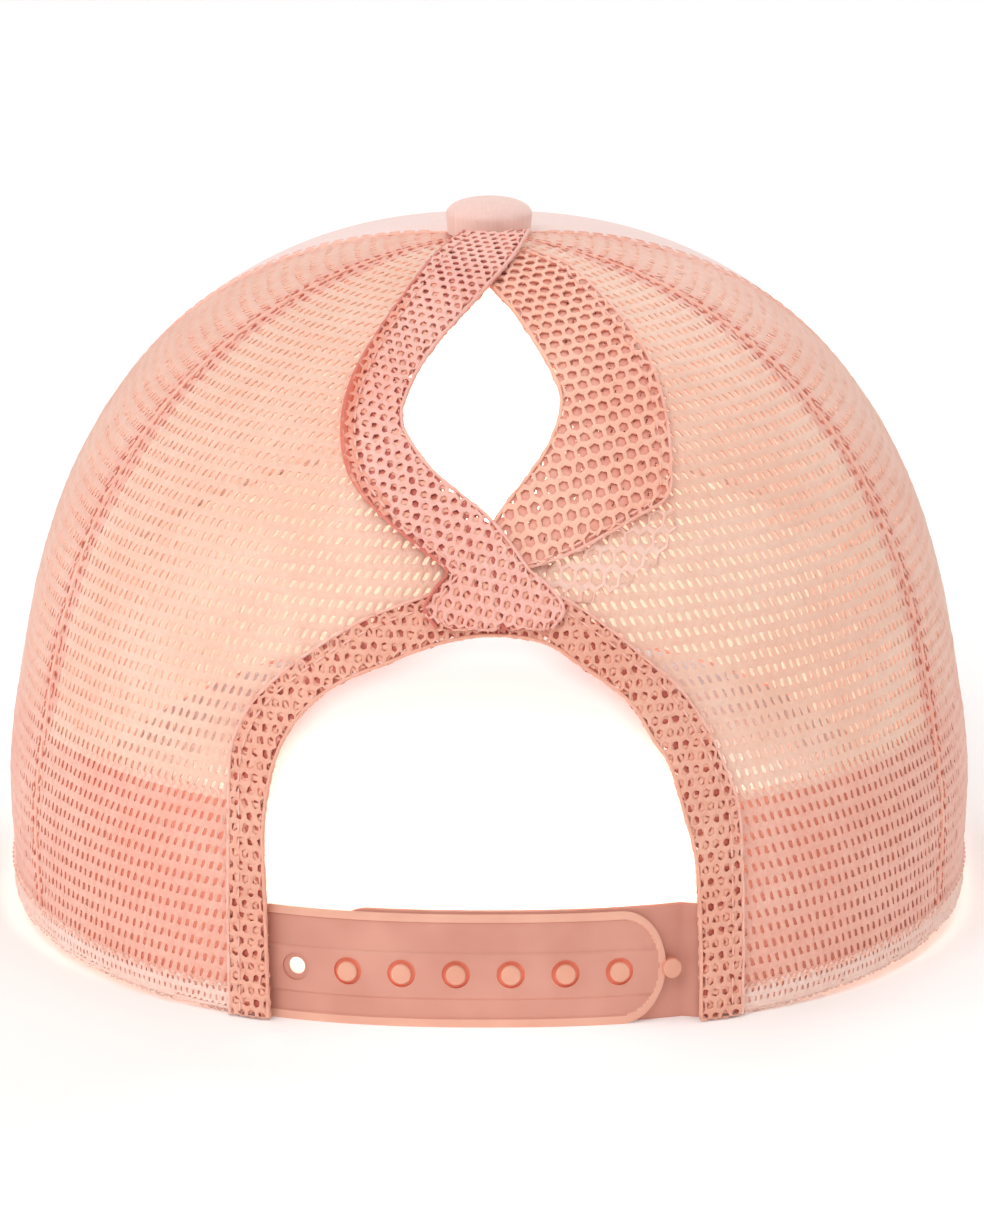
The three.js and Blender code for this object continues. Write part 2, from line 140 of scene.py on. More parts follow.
def join(pieces, name):
    """Joins pieces into the first one, under one name."""
    bpy.ops.object.select_all(action="DESELECT")
    for piece in pieces:
        piece.select_set(True)
    bpy.context.view_layer.objects.active = pieces[0]
    bpy.ops.object.join()
    return name_piece(name)


def smooth(piece, degrees):
    """Smooth shading that keeps edges sharper than this angle."""
    take(piece)
    bpy.ops.object.shade_smooth_by_angle(angle=math.radians(degrees))


def finish_piece(piece, slot, *nodes):
    """Says which body a piece rides on and which nodes it stands for. slot is not used."""
    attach(piece, "root")
    if nodes:
        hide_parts(*nodes)


CLOTH_UNIT = 10 * MM


def keep_cloth_places(piece, flat=None):
    """Stores where each point lies on the flat cloth as its UV map, in centimetres."""
    flat = places(piece) if flat is None else flat
    loops = np.empty(len(piece.data.loops), dtype=np.int32)
    piece.data.loops.foreach_get("vertex_index", loops)
    while piece.data.uv_layers:
        piece.data.uv_layers.remove(piece.data.uv_layers[0])
    layer = piece.data.uv_layers.new(name="cloth")
    layer.uv.foreach_set("vector", (flat[loops, :2] / CLOTH_UNIT).ravel())


print("helpers ready")

# %% [markdown]
# ## The crown as a surface
# The crown of a cap is blocked: steam and a wooden block give it one smooth form, and all its panels,
# hems and bands lie on that form. So one function gives a place on the crown from two angles. turn
# goes round it from the middle of the back, and climb goes up from the rim to the button. Its plan is
# a rounded ellipse, and its slopes are rounded too, which is what the powers do.

# %% The crown's sizes and its surface
CROWN_WIDTH = 172 * MM
CROWN_BACK_LENGTH = 96 * MM
CROWN_FRONT_LENGTH = 100 * MM
CROWN_HEIGHT = 119.5 * MM
SIDE_RIM_RISE = 3 * MM
FRONT_RIM_RISE = 20 * MM
PLAN_SQUARENESS = 2.3
BACK_SPREAD, BACK_LIFT = 2.08, 3.0
FRONT_SPREAD, FRONT_LIFT = 2.3, 3.2
SWELL_OUT, SWELL_HEIGHT, SWELL_REACH = 1.2 * MM, 24 * MM, 14 * MM
TOP_CLIMB = math.radians(87)
BACK_SEAM = math.radians(66)
FRONT_SEAM = math.radians(105)

button_low, button_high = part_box("button")
CROWN_Y = (button_low[1] + button_high[1]) / 2


def signed_power(value, exponent):
    return np.sign(value) * np.abs(value) ** exponent


def mix(first, second, share):
    return first + (second - first) * share


def soft_step(value, low, high):
    """0 up to the low value, 1 from the high value on, and a soft rise between them."""
    share = np.clip((value - low) / (high - low), 0, 1)
    return share * share * (3 - 2 * share)


def front_share(turn):
    """0 over the whole back half, 1 straight ahead."""
    return np.minimum(0, np.cos(turn)) ** 2


def rim_height(turn):
    """How high the rim stands over the table, which is most in front."""
    return SIDE_RIM_RISE * np.sin(turn) ** 2 + FRONT_RIM_RISE * front_share(turn)


def spread_power(turn):
    """How fast the plan narrows on the way up."""
    return 2 / mix(BACK_SPREAD, FRONT_SPREAD, front_share(turn))


def lift_power(turn):
    """How steeply the wall rises before it bends over the head."""
    return 2 / mix(BACK_LIFT, FRONT_LIFT, front_share(turn))


def half_width_at(height):
    """Half the crown's width, with the slight swell above its rim."""
    return CROWN_WIDTH / 2 + SWELL_OUT * np.exp(-((height - SWELL_HEIGHT) / SWELL_REACH) ** 2)


def crown(turn, climb):
    """Places on the crown's outer skin, for arrays of angles."""
    turn, climb = np.broadcast_arrays(np.asarray(turn, float), np.asarray(climb, float))
    spread = np.cos(climb) ** spread_power(turn)
    rim = rim_height(turn)
    height = rim + (CROWN_HEIGHT - rim) * np.maximum(np.sin(climb), 0) ** lift_power(turn)
    length = np.where(np.cos(turn) > 0, CROWN_BACK_LENGTH, CROWN_FRONT_LENGTH)
    x = half_width_at(height) * signed_power(np.sin(turn), 2 / PLAN_SQUARENESS) * spread
    y = CROWN_Y + length * signed_power(np.cos(turn), 2 / PLAN_SQUARENESS) * spread
    return np.stack([x, y, height], axis=-1)


def unit(vectors):
    return vectors / np.maximum(np.linalg.norm(vectors, axis=-1, keepdims=True), 1e-12)


def crown_normal(turn, climb):
    """The way straight out of the skin, from two small steps along it."""
    step = 1e-4
    around = crown(turn + step, climb) - crown(turn - step, climb)
    up = crown(turn, np.asarray(climb) + step) - crown(turn, np.maximum(0, np.asarray(climb) - step))
    return unit(np.cross(up, around))


def skin(turn, climb, out=0.0):
    """Places this far outside the crown's skin, or inside where out is below zero."""
    return crown(turn, climb) + crown_normal(turn, climb) * np.reshape(out, (-1, 1))


print("crown rises", round(float(crown(0.0, TOP_CLIMB)[2] / MM), 1), "mm")

# %% [markdown]
# ## Cloth places on the crown
# A panel of cloth is flat when it is cut. Its middle line runs straight up the crown, and its threads
# run level from there. So a place on the cloth is two lengths: how far up the panel's middle line, and
# how far to the side along a level line. Tables of lengths turn these two into turn and climb.

# %% From lengths on the cloth to angles on the crown
CLIMBS = TOP_CLIMB * np.linspace(0, 1, 700) ** 2.4
TURNS = np.linspace(-math.pi, 3 * math.pi, 2400)
PLAN_LENGTHS = lengths_along(crown(TURNS, 0.0)[:, :2])


def up_lengths(turn):
    """The length up the crown at each of the CLIMBS, along one turn."""
    return lengths_along(crown(turn, CLIMBS))


MIDDLE_LENGTHS = up_lengths(0.0)


def panel_angles(middle, across, up):
    """Turn and climb of cloth places on the panel whose middle line runs up at this turn."""
    climb = np.interp(up, up_lengths(middle), CLIMBS)
    spread = np.cos(climb) ** spread_power(middle)
    start = np.interp(middle, TURNS, PLAN_LENGTHS)
    turn = np.interp(start + across / spread, PLAN_LENGTHS, TURNS)
    return turn, climb


def turn_beside(x, climb):
    """The turn on the back half at which the skin is this far to the side."""
    spread = np.cos(climb) ** spread_power(0.0)
    half_width = half_width_at(CROWN_HEIGHT * np.sin(climb) ** lift_power(0.0))
    share = np.clip(np.abs(x) / (half_width * spread), 0, 1)
    return np.sign(x) * np.arcsin(share ** (PLAN_SQUARENESS / 2))


def back_angles(x, up):
    """Turn and climb of a place on the back, this far to the side and this far up its middle."""
    climb = np.interp(up, MIDDLE_LENGTHS, CLIMBS)
    return turn_beside(x, climb), climb


def climb_above(turn, rise):
    """The climb at which the skin stands this much above its own rim."""
    share = np.clip(rise / (CROWN_HEIGHT - rim_height(turn)), 0, 1)
    return np.arcsin(share ** (1 / lift_power(turn)))


def up_at(x, height):
    """How far up the middle the place on the back with this x and height lies."""
    turn = 0.0
    climb = 0.0
    for _ in range(6):
        climb = climb_above(turn, height - rim_height(turn))
        turn = turn_beside(x, climb)
    return float(np.interp(climb, CLIMBS, MIDDLE_LENGTHS))


print("middle of the back is", round(MIDDLE_LENGTHS[-1] / MM), "mm of cloth")

# %% [markdown]
# ## Finishes
# Colours are typed as they look on a screen and turned into the linear values that the shader needs.
# Cloth looks like cloth through small things: a thread pattern in its bump, a slow change of colour, and
# a soft sheen. The pattern reads the cloth's own UV map, which is measured in centimetres of cloth.


# %% A small kit for materials
def linear(hex_colour):
    """A screen colour such as F6C0B0 as linear red, green, blue and alpha."""
    screen = [int(hex_colour[i:i + 2], 16) / 255 for i in (0, 2, 4)]
    return [c / 12.92 if c <= 0.04045 else ((c + 0.055) / 1.055) ** 2.4 for c in screen] + [1.0]


class Finish:
    """A material with a few shorthand calls to add and link its nodes."""

    def __init__(self, name, roughness, specular, sheen=0.0):
        self.material = bpy.data.materials.new(name)
        self.material.use_nodes = True
        self.tree = self.material.node_tree
        self.shader = self.tree.nodes["Principled BSDF"]
        self.shader.inputs["Roughness"].default_value = roughness
        self.shader.inputs["Sheen Weight"].default_value = sheen
        self.shader.inputs["Specular IOR Level"].default_value = specular
        self.places = self.tree.nodes.new("ShaderNodeTexCoord")

    def node(self, kind, inputs=(), **settings):
        """Adds a node, sets its settings, and fills or links its inputs by name or number."""
        node = self.tree.nodes.new("ShaderNode" + kind)
        for key, value in settings.items():
            setattr(node, key, value)
        for key, value in dict(inputs).items():
            if isinstance(value, bpy.types.NodeSocket):
                self.tree.links.new(value, node.inputs[key])
            else:
                node.inputs[key].default_value = value
        return node

    def noise(self, source, scale, detail=2.0):
        return self.node("TexNoise", {"Vector": source, "Scale": scale, "Detail": detail}).outputs["Fac"]

    def scaled(self, source, scales):
        """The same places, drawn out or pressed together along each axis."""
        return self.node("Mapping", {"Vector": source, "Scale": scales}).outputs["Vector"]

    def blend(self, share, first, second):
        """A colour between two, by a share from 0 to 1. Sockets 6 and 7 of the node are the colours."""
        mixer = self.node("Mix", {"Factor": share, 6: first, 7: second}, data_type="RGBA")
        return mixer.outputs[2]

    def spread(self, value, low, high, to_low=0.0, to_high=1.0):
        """Stretches the range from low to high over another range, from 0 to 1 if none is given."""
        inputs = {"Value": value, "From Min": low, "From Max": high, "To Min": to_low, "To Max": to_high}
        return self.node("MapRange", inputs).outputs["Result"]

    def maths(self, operation, first, second):
        return self.node("Math", {0: first, 1: second}, operation=operation).outputs[0]

    def bump(self, height, depth, strength):
        inputs = {"Height": height, "Distance": depth, "Strength": strength}
        return self.node("Bump", inputs).outputs["Normal"]

    def done(self, colour, **more):
        """Links the finished colour into the shader, and what else is named, such as its Normal."""
        for socket, value in {"Base Color": colour, **more}.items():
            self.tree.links.new(value, self.shader.inputs[socket])
        return self.material


def give(piece, *finishes, chosen=None):
    """Puts finishes on a piece, the first one on all its faces if no number is chosen for each."""
    piece.data.materials.clear()
    for finish in finishes:
        piece.data.materials.append(finish)
    if chosen is not None:
        piece.data.polygons.foreach_set("material_index", chosen.astype(np.int32))


# %% Yarn, for the net and its hems
def yarn_finish(name, pale, deep):
    """Knitted yarn. A slow and a quick noise vary its colour, and a very fine one gives it fibres."""
    finish = Finish(name, roughness=0.5, specular=0.45, sheen=0.25)
    where = finish.places.outputs["Object"]
    slow = finish.spread(finish.noise(where, 60.0), 0.35, 0.65)
    quick = finish.noise(where, 900.0, detail=3.0)
    shade = finish.maths("MULTIPLY", slow, 0.45)
    shade = finish.maths("ADD", shade, finish.spread(quick, 0.3, 1.1))
    colour = finish.blend(finish.spread(shade, 0.2, 1.3), linear(deep), linear(pale))
    return finish.done(colour, Normal=finish.bump(finish.noise(where, 2600.0), 0.15 * MM, 0.6))


# One net yarn in three copies. The back panels' copy is painted paler than the sides' one, as painted light
# through the thin yarn. The copy over the sweatband and the seam allowances is painted darker and pinker, as
# painted shade from what lies behind.
lit_back_yarn = yarn_finish("lit_back_yarn", "FAD9C6", "F4C2AB")
side_yarn = yarn_finish("side_yarn", "F9CFBC", "F2B6A0")
band_and_seam_shade_yarn = yarn_finish("band_and_seam_shade_yarn", "F9C8B6", "F2AD99")
hem_yarn = yarn_finish("hem_yarn", "FFD3BC", "FEBCA3")
arch_yarn = yarn_finish("arch_yarn", "F7C2AC", "EFAB93")
# The hems' under layers are the same net as their top layers. Their yarn is painted darker and redder, as
# painted shade between the two layers.
arch_under_shade_yarn = yarn_finish("arch_under_shade_yarn", "DF8573", "C86756")
lace_yarn = yarn_finish("lace_yarn", "FFD2C5", "F7B5A6")
right_under_shade_yarn = yarn_finish("right_under_shade_yarn", "FECAB8", "F3AC98")
left_under_shade_yarn = yarn_finish("left_under_shade_yarn", "E99484", "D06E62")
edge_yarn = yarn_finish("edge_yarn", "FFD6C8", "F7B8A6")
rim_yarn = yarn_finish("rim_yarn", "FFE6DC", "F9CFC0")
stitch_thread = yarn_finish("stitch_thread", "EF9A88", "D86F60")
print("yarn finishes ready")


# %% Woven cloth and moulded plastic
THREAD_STRETCH = 7.0


def woven_finish(name, pale, deep, threads_per_cm, depth):
    """Plain weave. A noise that is drawn out one way makes uneven threads along the cloth, and one
    drawn out the other way makes those across it. An even wave would flicker from afar."""
    finish = Finish(name, roughness=0.85, specular=0.25, sheen=0.3)
    cloth = finish.places.outputs["UV"]
    fine, drawn = threads_per_cm, threads_per_cm / THREAD_STRETCH
    warp = finish.noise(finish.scaled(cloth, (fine, drawn, 1)), 1.0)
    weft = finish.noise(finish.scaled(cloth, (drawn, fine, 1)), 1.0)
    weave = finish.maths("MAXIMUM", warp, weft)
    slow = finish.noise(finish.places.outputs["Object"], 30.0)
    shade = finish.maths("ADD", finish.maths("MULTIPLY", slow, 0.4), weave)
    colour = finish.blend(finish.spread(shade, 0.5, 1.0), linear(deep), linear(pale))
    return finish.done(colour, Normal=finish.bump(weave, depth, 0.5))


def plastic_finish(name, pale, deep):
    """Satin moulded plastic with the faint unevenness of its mould."""
    finish = Finish(name, roughness=0.42, specular=0.45)
    where = finish.places.outputs["Object"]
    slow = finish.spread(finish.noise(where, 80.0), 0.3, 0.7)
    colour = finish.blend(slow, linear(deep), linear(pale))
    rough = finish.spread(finish.noise(where, 700.0), 0.0, 1.0, 0.34, 0.52)
    grain = finish.bump(finish.noise(where, 1800.0), 0.05 * MM, 0.35)
    return finish.done(colour, Normal=grain, Roughness=rough)


front_cloth = woven_finish("front_cloth", "F9E0DA", "F2CFC7", 22, 0.1 * MM)
lining_cloth = woven_finish("lining_cloth", "FCEAE0", "F9E0D3", 14, 0.12 * MM)
band_cloth = woven_finish("band_cloth", "FFDDCD", "FBCBB9", 18, 0.2 * MM)
band_face_cloth = woven_finish("band_face_cloth", "FCE8DA", "F7DBCA", 18, 0.15 * MM)
button_cloth = woven_finish("button_cloth", "F7D6CE", "EFC5BA", 26, 0.08 * MM)
peak_cloth = woven_finish("peak_cloth", "F3BFB0", "E9A798", 20, 0.12 * MM)
strap_plastic = plastic_finish("strap_plastic", "DE9F8D", "D3917F")
peg_plastic = plastic_finish("peg_plastic", "EDB097", "E3A088")
print("materials:", len(bpy.data.materials))

# %% [markdown]
# ## Knitted net
# The net is warp knit: yarns loop from side to side and leave a honeycomb of tall holes. A bump map
# can't show what lies behind a hole, so the holes are real. One hexagon is made and copied in rows that
# step by half a cell. Insetting each cell leaves a rim of yarn, and the inner face is deleted. The rims'
# shared edge stands higher than the holes' edges, so that the yarn is a ridge and not a punched sheet.

# %% The net's sizes and its flat cloth
CELL_PITCH = 1.7 * MM
CELL_ROW = 2.8 * MM
YARN_WIDTH = 1.0 * MM
CELL_HEIGHT_SHARE = 0.74
PANEL_LEAN = 0.32
YARN_CREST = 0.22 * MM
YARN_WALL = 0.5 * MM
YARN_RISE_CHANCE, YARN_SIDE_CHANCE = 0.05 * MM, 0.06 * MM
NET_SMOOTH, CORD_SMOOTH = 70, 80
chance = np.random.default_rng(11)


def honeycomb(name, width, height, pitch=CELL_PITCH, row=CELL_ROW):
    """Flat net, one face to a cell, its lower edge on the X axis and its middle on the Y axis."""
    columns = math.ceil(width / pitch) + 2
    row_pairs = math.ceil(height / (2 * row)) + 1
    bpy.ops.mesh.primitive_circle_add(vertices=6, radius=1, fill_type="NGON")
    net = name_piece(name)
    with editing(net):
        bpy.ops.transform.resize(value=(pitch / math.sqrt(3), row / 1.5, 1))
    repeat(net, columns, (pitch, 0, 0))
    repeat(net, 2, (pitch / 2, row, 0))
    repeat(net, row_pairs, (0, 2 * row, 0))
    with editing(net):
        bpy.ops.mesh.remove_doubles(threshold=0.05 * MM)
    move_to(net, places(net) - [(columns - 0.5) * pitch / 2, 0, 0])
    return net


def keep_cells(net, kept):
    """Deletes every cell that isn't kept."""
    pick(net, "polygons", np.logical_not(kept))
    with editing(net, everything=False):
        bpy.ops.mesh.delete(type="FACE")


def round_holes(net, height_share, lean):
    """Makes the selected hole faces lower, as the yarn is thicker where loops join, and leans them."""
    points = places(net)
    for hole in net.data.polygons:
        if hole.select:
            corners = np.array(hole.vertices)
            above = (points[corners, 1] - points[corners, 1].mean()) * height_share
            points[corners, 0] += above * lean
            points[corners, 1] = points[corners, 1].mean() + above
    move_to(net, points)


def open_cells(net, yarn_width=YARN_WIDTH, height_share=CELL_HEIGHT_SHARE, lean=0.0):
    """Opens each cell and leaves its rim of yarn. Returns the net's flat places, which are kept as
    its cloth places and then stepped a little to the side as knitting is, and how far out each is."""
    crest_points = len(net.data.vertices)
    with editing(net):
        bpy.ops.mesh.inset(thickness=yarn_width / 2, use_individual=True)
    round_holes(net, height_share, lean)
    with editing(net, everything=False):
        bpy.ops.mesh.delete(type="FACE")
    count = len(net.data.vertices)
    rise = np.where(np.arange(count) < crest_points, 0.0, -YARN_CREST)
    rise += chance.normal(0, YARN_RISE_CHANCE, count)
    keep_cloth_places(net)
    return places(net) + chance.normal(0, YARN_SIDE_CHANCE, (count, 3)) * [1, 1, 0], rise


def thicken(net, wall):
    """Gives a laid net its yarn's thickness."""
    apply_modifier(net, "SOLIDIFY", thickness=wall, offset=-1.0)
    smooth(net, NET_SMOOTH)


print("a cell is", round(CELL_PITCH / MM, 2), "by", round(CELL_ROW / MM, 2), "mm")

# %% [markdown]
# ## Outlines of the hems
# The hems of the ponytail hole and of the arch follow short tables, in the same shares as in the
# construction. at runs along a hem: 0 is the hole's lower tip and 1 its upper tip. A curve is drawn
# through the rows, so that a hem bends and has no corners.

# %% Tables of the hems
ARCH_HALF_WIDTH = 37 * MM
ARCH_HEIGHT = 67.6 * MM
ARCH_ROWS = [  # inner x, inner z, outer x, outer z
    (1.016, 0.009, 1.192, 0.009),
    (1.024, 0.18, 1.195, 0.18),
    (1.032, 0.355, 1.195, 0.355),
    (1.038, 0.503, 1.192, 0.518),
    (1.0, 0.643, 1.178, 0.688),
    (0.924, 0.747, 1.086, 0.806),
    (0.811, 0.825, 0.946, 0.888),
    (0.662, 0.885, 0.778, 0.959),
    (0.47, 0.929, 0.581, 1.025),
    (0.257, 0.975, 0.324, 1.08),
    (0, 1, 0, 1.124),
    (-0.257, 0.981, -0.311, 1.087),
    (-0.419, 0.926, -0.554, 1.006),
    (-0.559, 0.874, -0.727, 0.925),
    (-0.665, 0.818, -0.865, 0.858),
    (-0.741, 0.747, -0.978, 0.769),
    (-0.827, 0.673, -1.068, 0.666),
    (-0.897, 0.547, -1.141, 0.547),
    (-0.954, 0.414, -1.159, 0.399),
    (-0.973, 0.207, -1.165, 0.207),
    (-0.976, 0.009, -1.165, 0.009),
]
HOLE_HALF_WIDTH = 14.5 * MM
HOLE_BRIDGE = 16.8 * MM
HOLE_TOP_CLIMB = math.radians(71.8)
LEFT_ROWS = [  # at, inner x, outer x, layer
    (-0.96, -0.72, 0.6, 1),
    (-0.786, -0.86, 0.74, 1),
    (-0.577, -0.69, 0.6, 1),
    (-0.435, -0.47, 0.48, 1),
    (-0.244, -0.29, 0.79, 1),
    (0, -0.04, 1.19, 1),
    (0.079, 0.28, 1.46, 0.5),
    (0.192, 0.72, 1.66, 0),
    (0.345, 1.03, 1.7, 0),
    (0.508, 0.92, 1.59, 0),
    (0.695, 0.62, 1.35, 0),
    (0.887, 0.2, 1.03, 0.5),
    (1, -0.04, 0.84, 1),
    (1.408, -0.3, 0.6, 1),
    (1.829, -0.47, 0.31, 1),
]
RIGHT_ROWS = [  # at, inner x, outer x, layer
    (-0.417, 0.3, -0.36, 0),
    (-0.262, 0.24, -0.96, 0),
    (0, -0.04, -1.66, 0),
    (0.062, -0.19, -2.08, 0),
    (0.158, -0.46, -2.13, 0),
    (0.274, -0.72, -2.11, 0),
    (0.427, -0.86, -2.03, 0),
    (0.565, -0.74, -1.9, 0),
    (0.695, -0.55, -1.71, 0),
    (0.859, -0.3, -1.43, 0),
    (1, -0.04, -1.17, 0),
    (1.289, 0.14, -0.92, 0),
    (1.579, 0.14, -0.52, 0),
]


# %% Curves through the tables
def curve_through(rows, steps=8):
    """Points on a smooth curve through the rows of a table, this many to a stretch."""
    rows = np.asarray(rows, float)
    padded = np.vstack([2 * rows[0] - rows[1], rows, 2 * rows[-1] - rows[-2]])
    points = []
    for before, start, end, after in zip(padded, padded[1:], padded[2:], padded[3:]):
        for share in np.arange(steps) / steps:
            leaving = share * ((2 - share) * share - 1)
            at_start = 2 + share**2 * (3 * share - 5)
            at_end = share * (1 + share * (4 - 3 * share))
            arriving = share**2 * (share - 1)
            points.append((leaving * before + at_start * start + at_end * end + arriving * after) / 2)
    return np.array(points + [rows[-1]])


HOLE_BOTTOM_CLIMB = float(climb_above(0.0, ARCH_HEIGHT + HOLE_BRIDGE))


def hem_up(at):
    """How far up the middle of the back a place along the hole's hems lies."""
    if at < 0:
        climb = climb_above(0.0, ARCH_HEIGHT + HOLE_BRIDGE * (1 + at))
    elif at <= 1:
        climb = mix(HOLE_BOTTOM_CLIMB, HOLE_TOP_CLIMB, at)
    else:
        climb = mix(HOLE_TOP_CLIMB, TOP_CLIMB, at - 1)
    return float(np.interp(climb, CLIMBS, MIDDLE_LENGTHS))


def ponytail_edges(rows):
    """Inner edge, outer edge and layer of a ponytail hem, on the back's cloth."""
    table = curve_through([(hem_up(at), inner, outer, layer) for at, inner, outer, layer in rows])
    inner = np.column_stack([table[:, 1] * HOLE_HALF_WIDTH, table[:, 0]])
    outer = np.column_stack([table[:, 2] * HOLE_HALF_WIDTH, table[:, 0]])
    return inner, outer, np.clip(table[:, 3], 0, 1)


def arch_edges():
    """Inner and outer edge of the arch hem, on the back's cloth, from the left foot to the right."""
    rows = curve_through(ARCH_ROWS, steps=6)
    inner = [(x * ARCH_HALF_WIDTH, up_at(x * ARCH_HALF_WIDTH, z * ARCH_HEIGHT)) for x, z in rows[:, :2]]
    outer = [(x * ARCH_HALF_WIDTH, up_at(x * ARCH_HALF_WIDTH, z * ARCH_HEIGHT)) for x, z in rows[:, 2:]]
    return np.array(inner), np.array(outer)


left_inner, left_outer, left_layer = ponytail_edges(LEFT_ROWS)
right_inner, right_outer, right_layer = ponytail_edges(RIGHT_ROWS)
arch_inner, arch_outer = arch_edges()
print("hole tips are", round((hem_up(1) - hem_up(0)) / MM, 1), "mm apart on the cloth")

# %% [markdown]
# ## The four net panels
# Each panel starts as a flat honeycomb. Cells outside its pattern are cut away, the rest are opened,
# and the sheet is laid on the crown. Points past a seam are drawn back onto it, which gives a straight
# edge. The back panels also stop under the hems of the arch and of the hole.

# %% Where the back panels end in the middle
NET_UNDER_HEM = 0.25
NET_BEYOND_TIP = 0.12


def free_edge(side):
    """The free edge of one back panel: heights up the middle, and the x of the edge there."""
    on_side = arch_inner[:, 0] * side > 0.5 * MM
    inner, outer = arch_inner[on_side], arch_outer[on_side]
    along_arch = mix(inner, outer, NET_UNDER_HEM)
    if side < 0:
        along_arch = along_arch[::-1]
    inner, outer = (left_inner, left_outer) if side > 0 else (right_inner, right_outer)
    beside_hole = (inner[:, 1] > hem_up(0)) & (inner[:, 1] < hem_up(1))
    along_hole = mix(inner, outer, NET_UNDER_HEM)[beside_hole]
    bridge = [(0, up_at(0, ARCH_HEIGHT) + 1.5 * MM), (0, hem_up(-NET_BEYOND_TIP))]
    top = [(0, hem_up(1 + NET_BEYOND_TIP)), (0, hem_up(2))]
    edge = np.vstack([along_arch, bridge, along_hole, top])
    return edge[:, 1], edge[:, 0] * side


# %% Lay the panels on the crown
BAND_HEIGHT = 37.5 * MM
SEAM_ALLOWANCE = 4.2 * MM


def seam_allowance(share):
    """How far a seam's doubled cloth reaches to each side, at a share of the way up."""
    return SEAM_ALLOWANCE * np.interp(share, [0, 0.86, 1], [1, 1, 0.35])


def near_seam(turn, climb, plan, edge_side):
    """Which places lie over a seam's allowances, where the cloth is doubled."""
    along = np.interp(turn, TURNS, PLAN_LENGTHS)
    ends = plan if edge_side == 0 else plan[[1 if edge_side > 0 else 0]]
    beside = np.abs(along[:, None] - ends).min(axis=1) * np.cos(climb) ** spread_power(turn)
    up = np.interp(climb, CLIMBS, MIDDLE_LENGTHS) / MIDDLE_LENGTHS[-1]
    return beside < seam_allowance(up)


def net_panel(name, from_turn, to_turn, edge_side=0):
    """One net panel between two turns. edge_side is 1 or -1 where it ends at a free edge."""
    middle = (from_turn + to_turn) / 2
    plan = np.interp([from_turn, to_turn], TURNS, PLAN_LENGTHS)
    net = honeycomb(name, plan[1] - plan[0] + 4 * MM, up_lengths(middle)[-1])
    centres = face_centres(net)
    turn, climb = panel_angles(middle, -centres[:, 0], centres[:, 1])
    margin = math.radians(0.3)
    kept = (turn > from_turn - margin) & (turn < to_turn + margin) & (centres[:, 1] > 0)
    kept &= climb < TOP_CLIMB - math.radians(0.5)
    if edge_side:
        ups, edge_x = free_edge(edge_side)
        up = np.interp(climb, CLIMBS, MIDDLE_LENGTHS)
        x = crown(turn, climb)[:, 0] * edge_side
        kept &= x > np.interp(up, ups, edge_x)
    keep_cells(net, kept)
    area = len(net.data.polygons) * CELL_PITCH * CELL_ROW
    flat, rise = open_cells(net, lean=PANEL_LEAN * math.copysign(1, middle))
    turn, climb = panel_angles(middle, -flat[:, 0], np.maximum(flat[:, 1], 0))
    turn = np.clip(turn, from_turn, to_turn)
    move_to(net, skin(turn, climb, rise))
    # Over the sweatband and the seam allowances the yarn gets the darker copy, which is painted shade from
    # what lies behind. Near the seams the cloth really is doubled, so there the darkening is partly real.
    over_band = climb < climb_above(turn, BAND_HEIGHT)
    first_points = np.array([face.vertices[0] for face in net.data.polygons])
    doubled = (over_band | near_seam(turn, climb, plan, edge_side))[first_points]
    give(net, lit_back_yarn if edge_side else side_yarn, band_and_seam_shade_yarn, chosen=doubled)
    thicken(net, YARN_WALL)
    return net, (plan[1] - plan[0], up_lengths(middle)[-1]), area


panels = {
    "side_panel_left": net_panel("net_side_left", BACK_SEAM, FRONT_SEAM),
    "side_panel_right": net_panel("net_side_right", -FRONT_SEAM, -BACK_SEAM),
    "back_panel_left": net_panel("net_back_left", 0.0, BACK_SEAM, 1),
    "back_panel_right": net_panel("net_back_right", -BACK_SEAM, 0.0, -1),
}
for node, (net, flat_size, area) in panels.items():
    finish_piece(net, "net", node)
    print(net.name, "has", len(net.data.polygons), "faces")

# %% [markdown]
# ## Strips, cords and stitches
# Much of a cap is long and thin: folded edges, seam tapes, rows of stitches. Each one is made straight,
# where it is easy to shape, and is then laid along a line on the crown. Its x runs along the line, its y
# to the side, and its z stands out from the cloth.

# %% Straight pieces and how they follow a line


def line_length(line):
    return float(lengths_along(line)[-1])


def read_along(lengths, values, along):
    return np.column_stack([np.interp(along, lengths, values[:, axis]) for axis in range(3)])


def follow(piece, path, lengths=None):
    """Lays a straight piece along a path, which is a line and its normals. lengths says which length
    of the piece comes to each of the line's points, where that isn't the line's own length."""
    line, normals = path
    lengths = lengths_along(line) if lengths is None else lengths
    flat = places(piece)
    along = flat[:, 0]
    ahead = unit(read_along(lengths, unit(np.gradient(line, lengths, axis=0)), along))
    up = unit(read_along(lengths, normals, along))
    aside = unit(np.cross(up, ahead))
    base = read_along(lengths, line, along)
    move_to(piece, base + flat[:, 1:2] * aside + flat[:, 2:3] * np.cross(ahead, aside))


def ribbon(name, length, width, steps, across):
    """A straight flat strip that starts at x = 0."""
    bpy.ops.mesh.primitive_grid_add(x_subdivisions=steps, y_subdivisions=across, size=1)
    strip = name_piece(name)
    with editing(strip):
        bpy.ops.transform.translate(value=(0.5, 0, 0))
        bpy.ops.transform.resize(value=(length, width, 1), center_override=(0, 0, 0))
    return strip


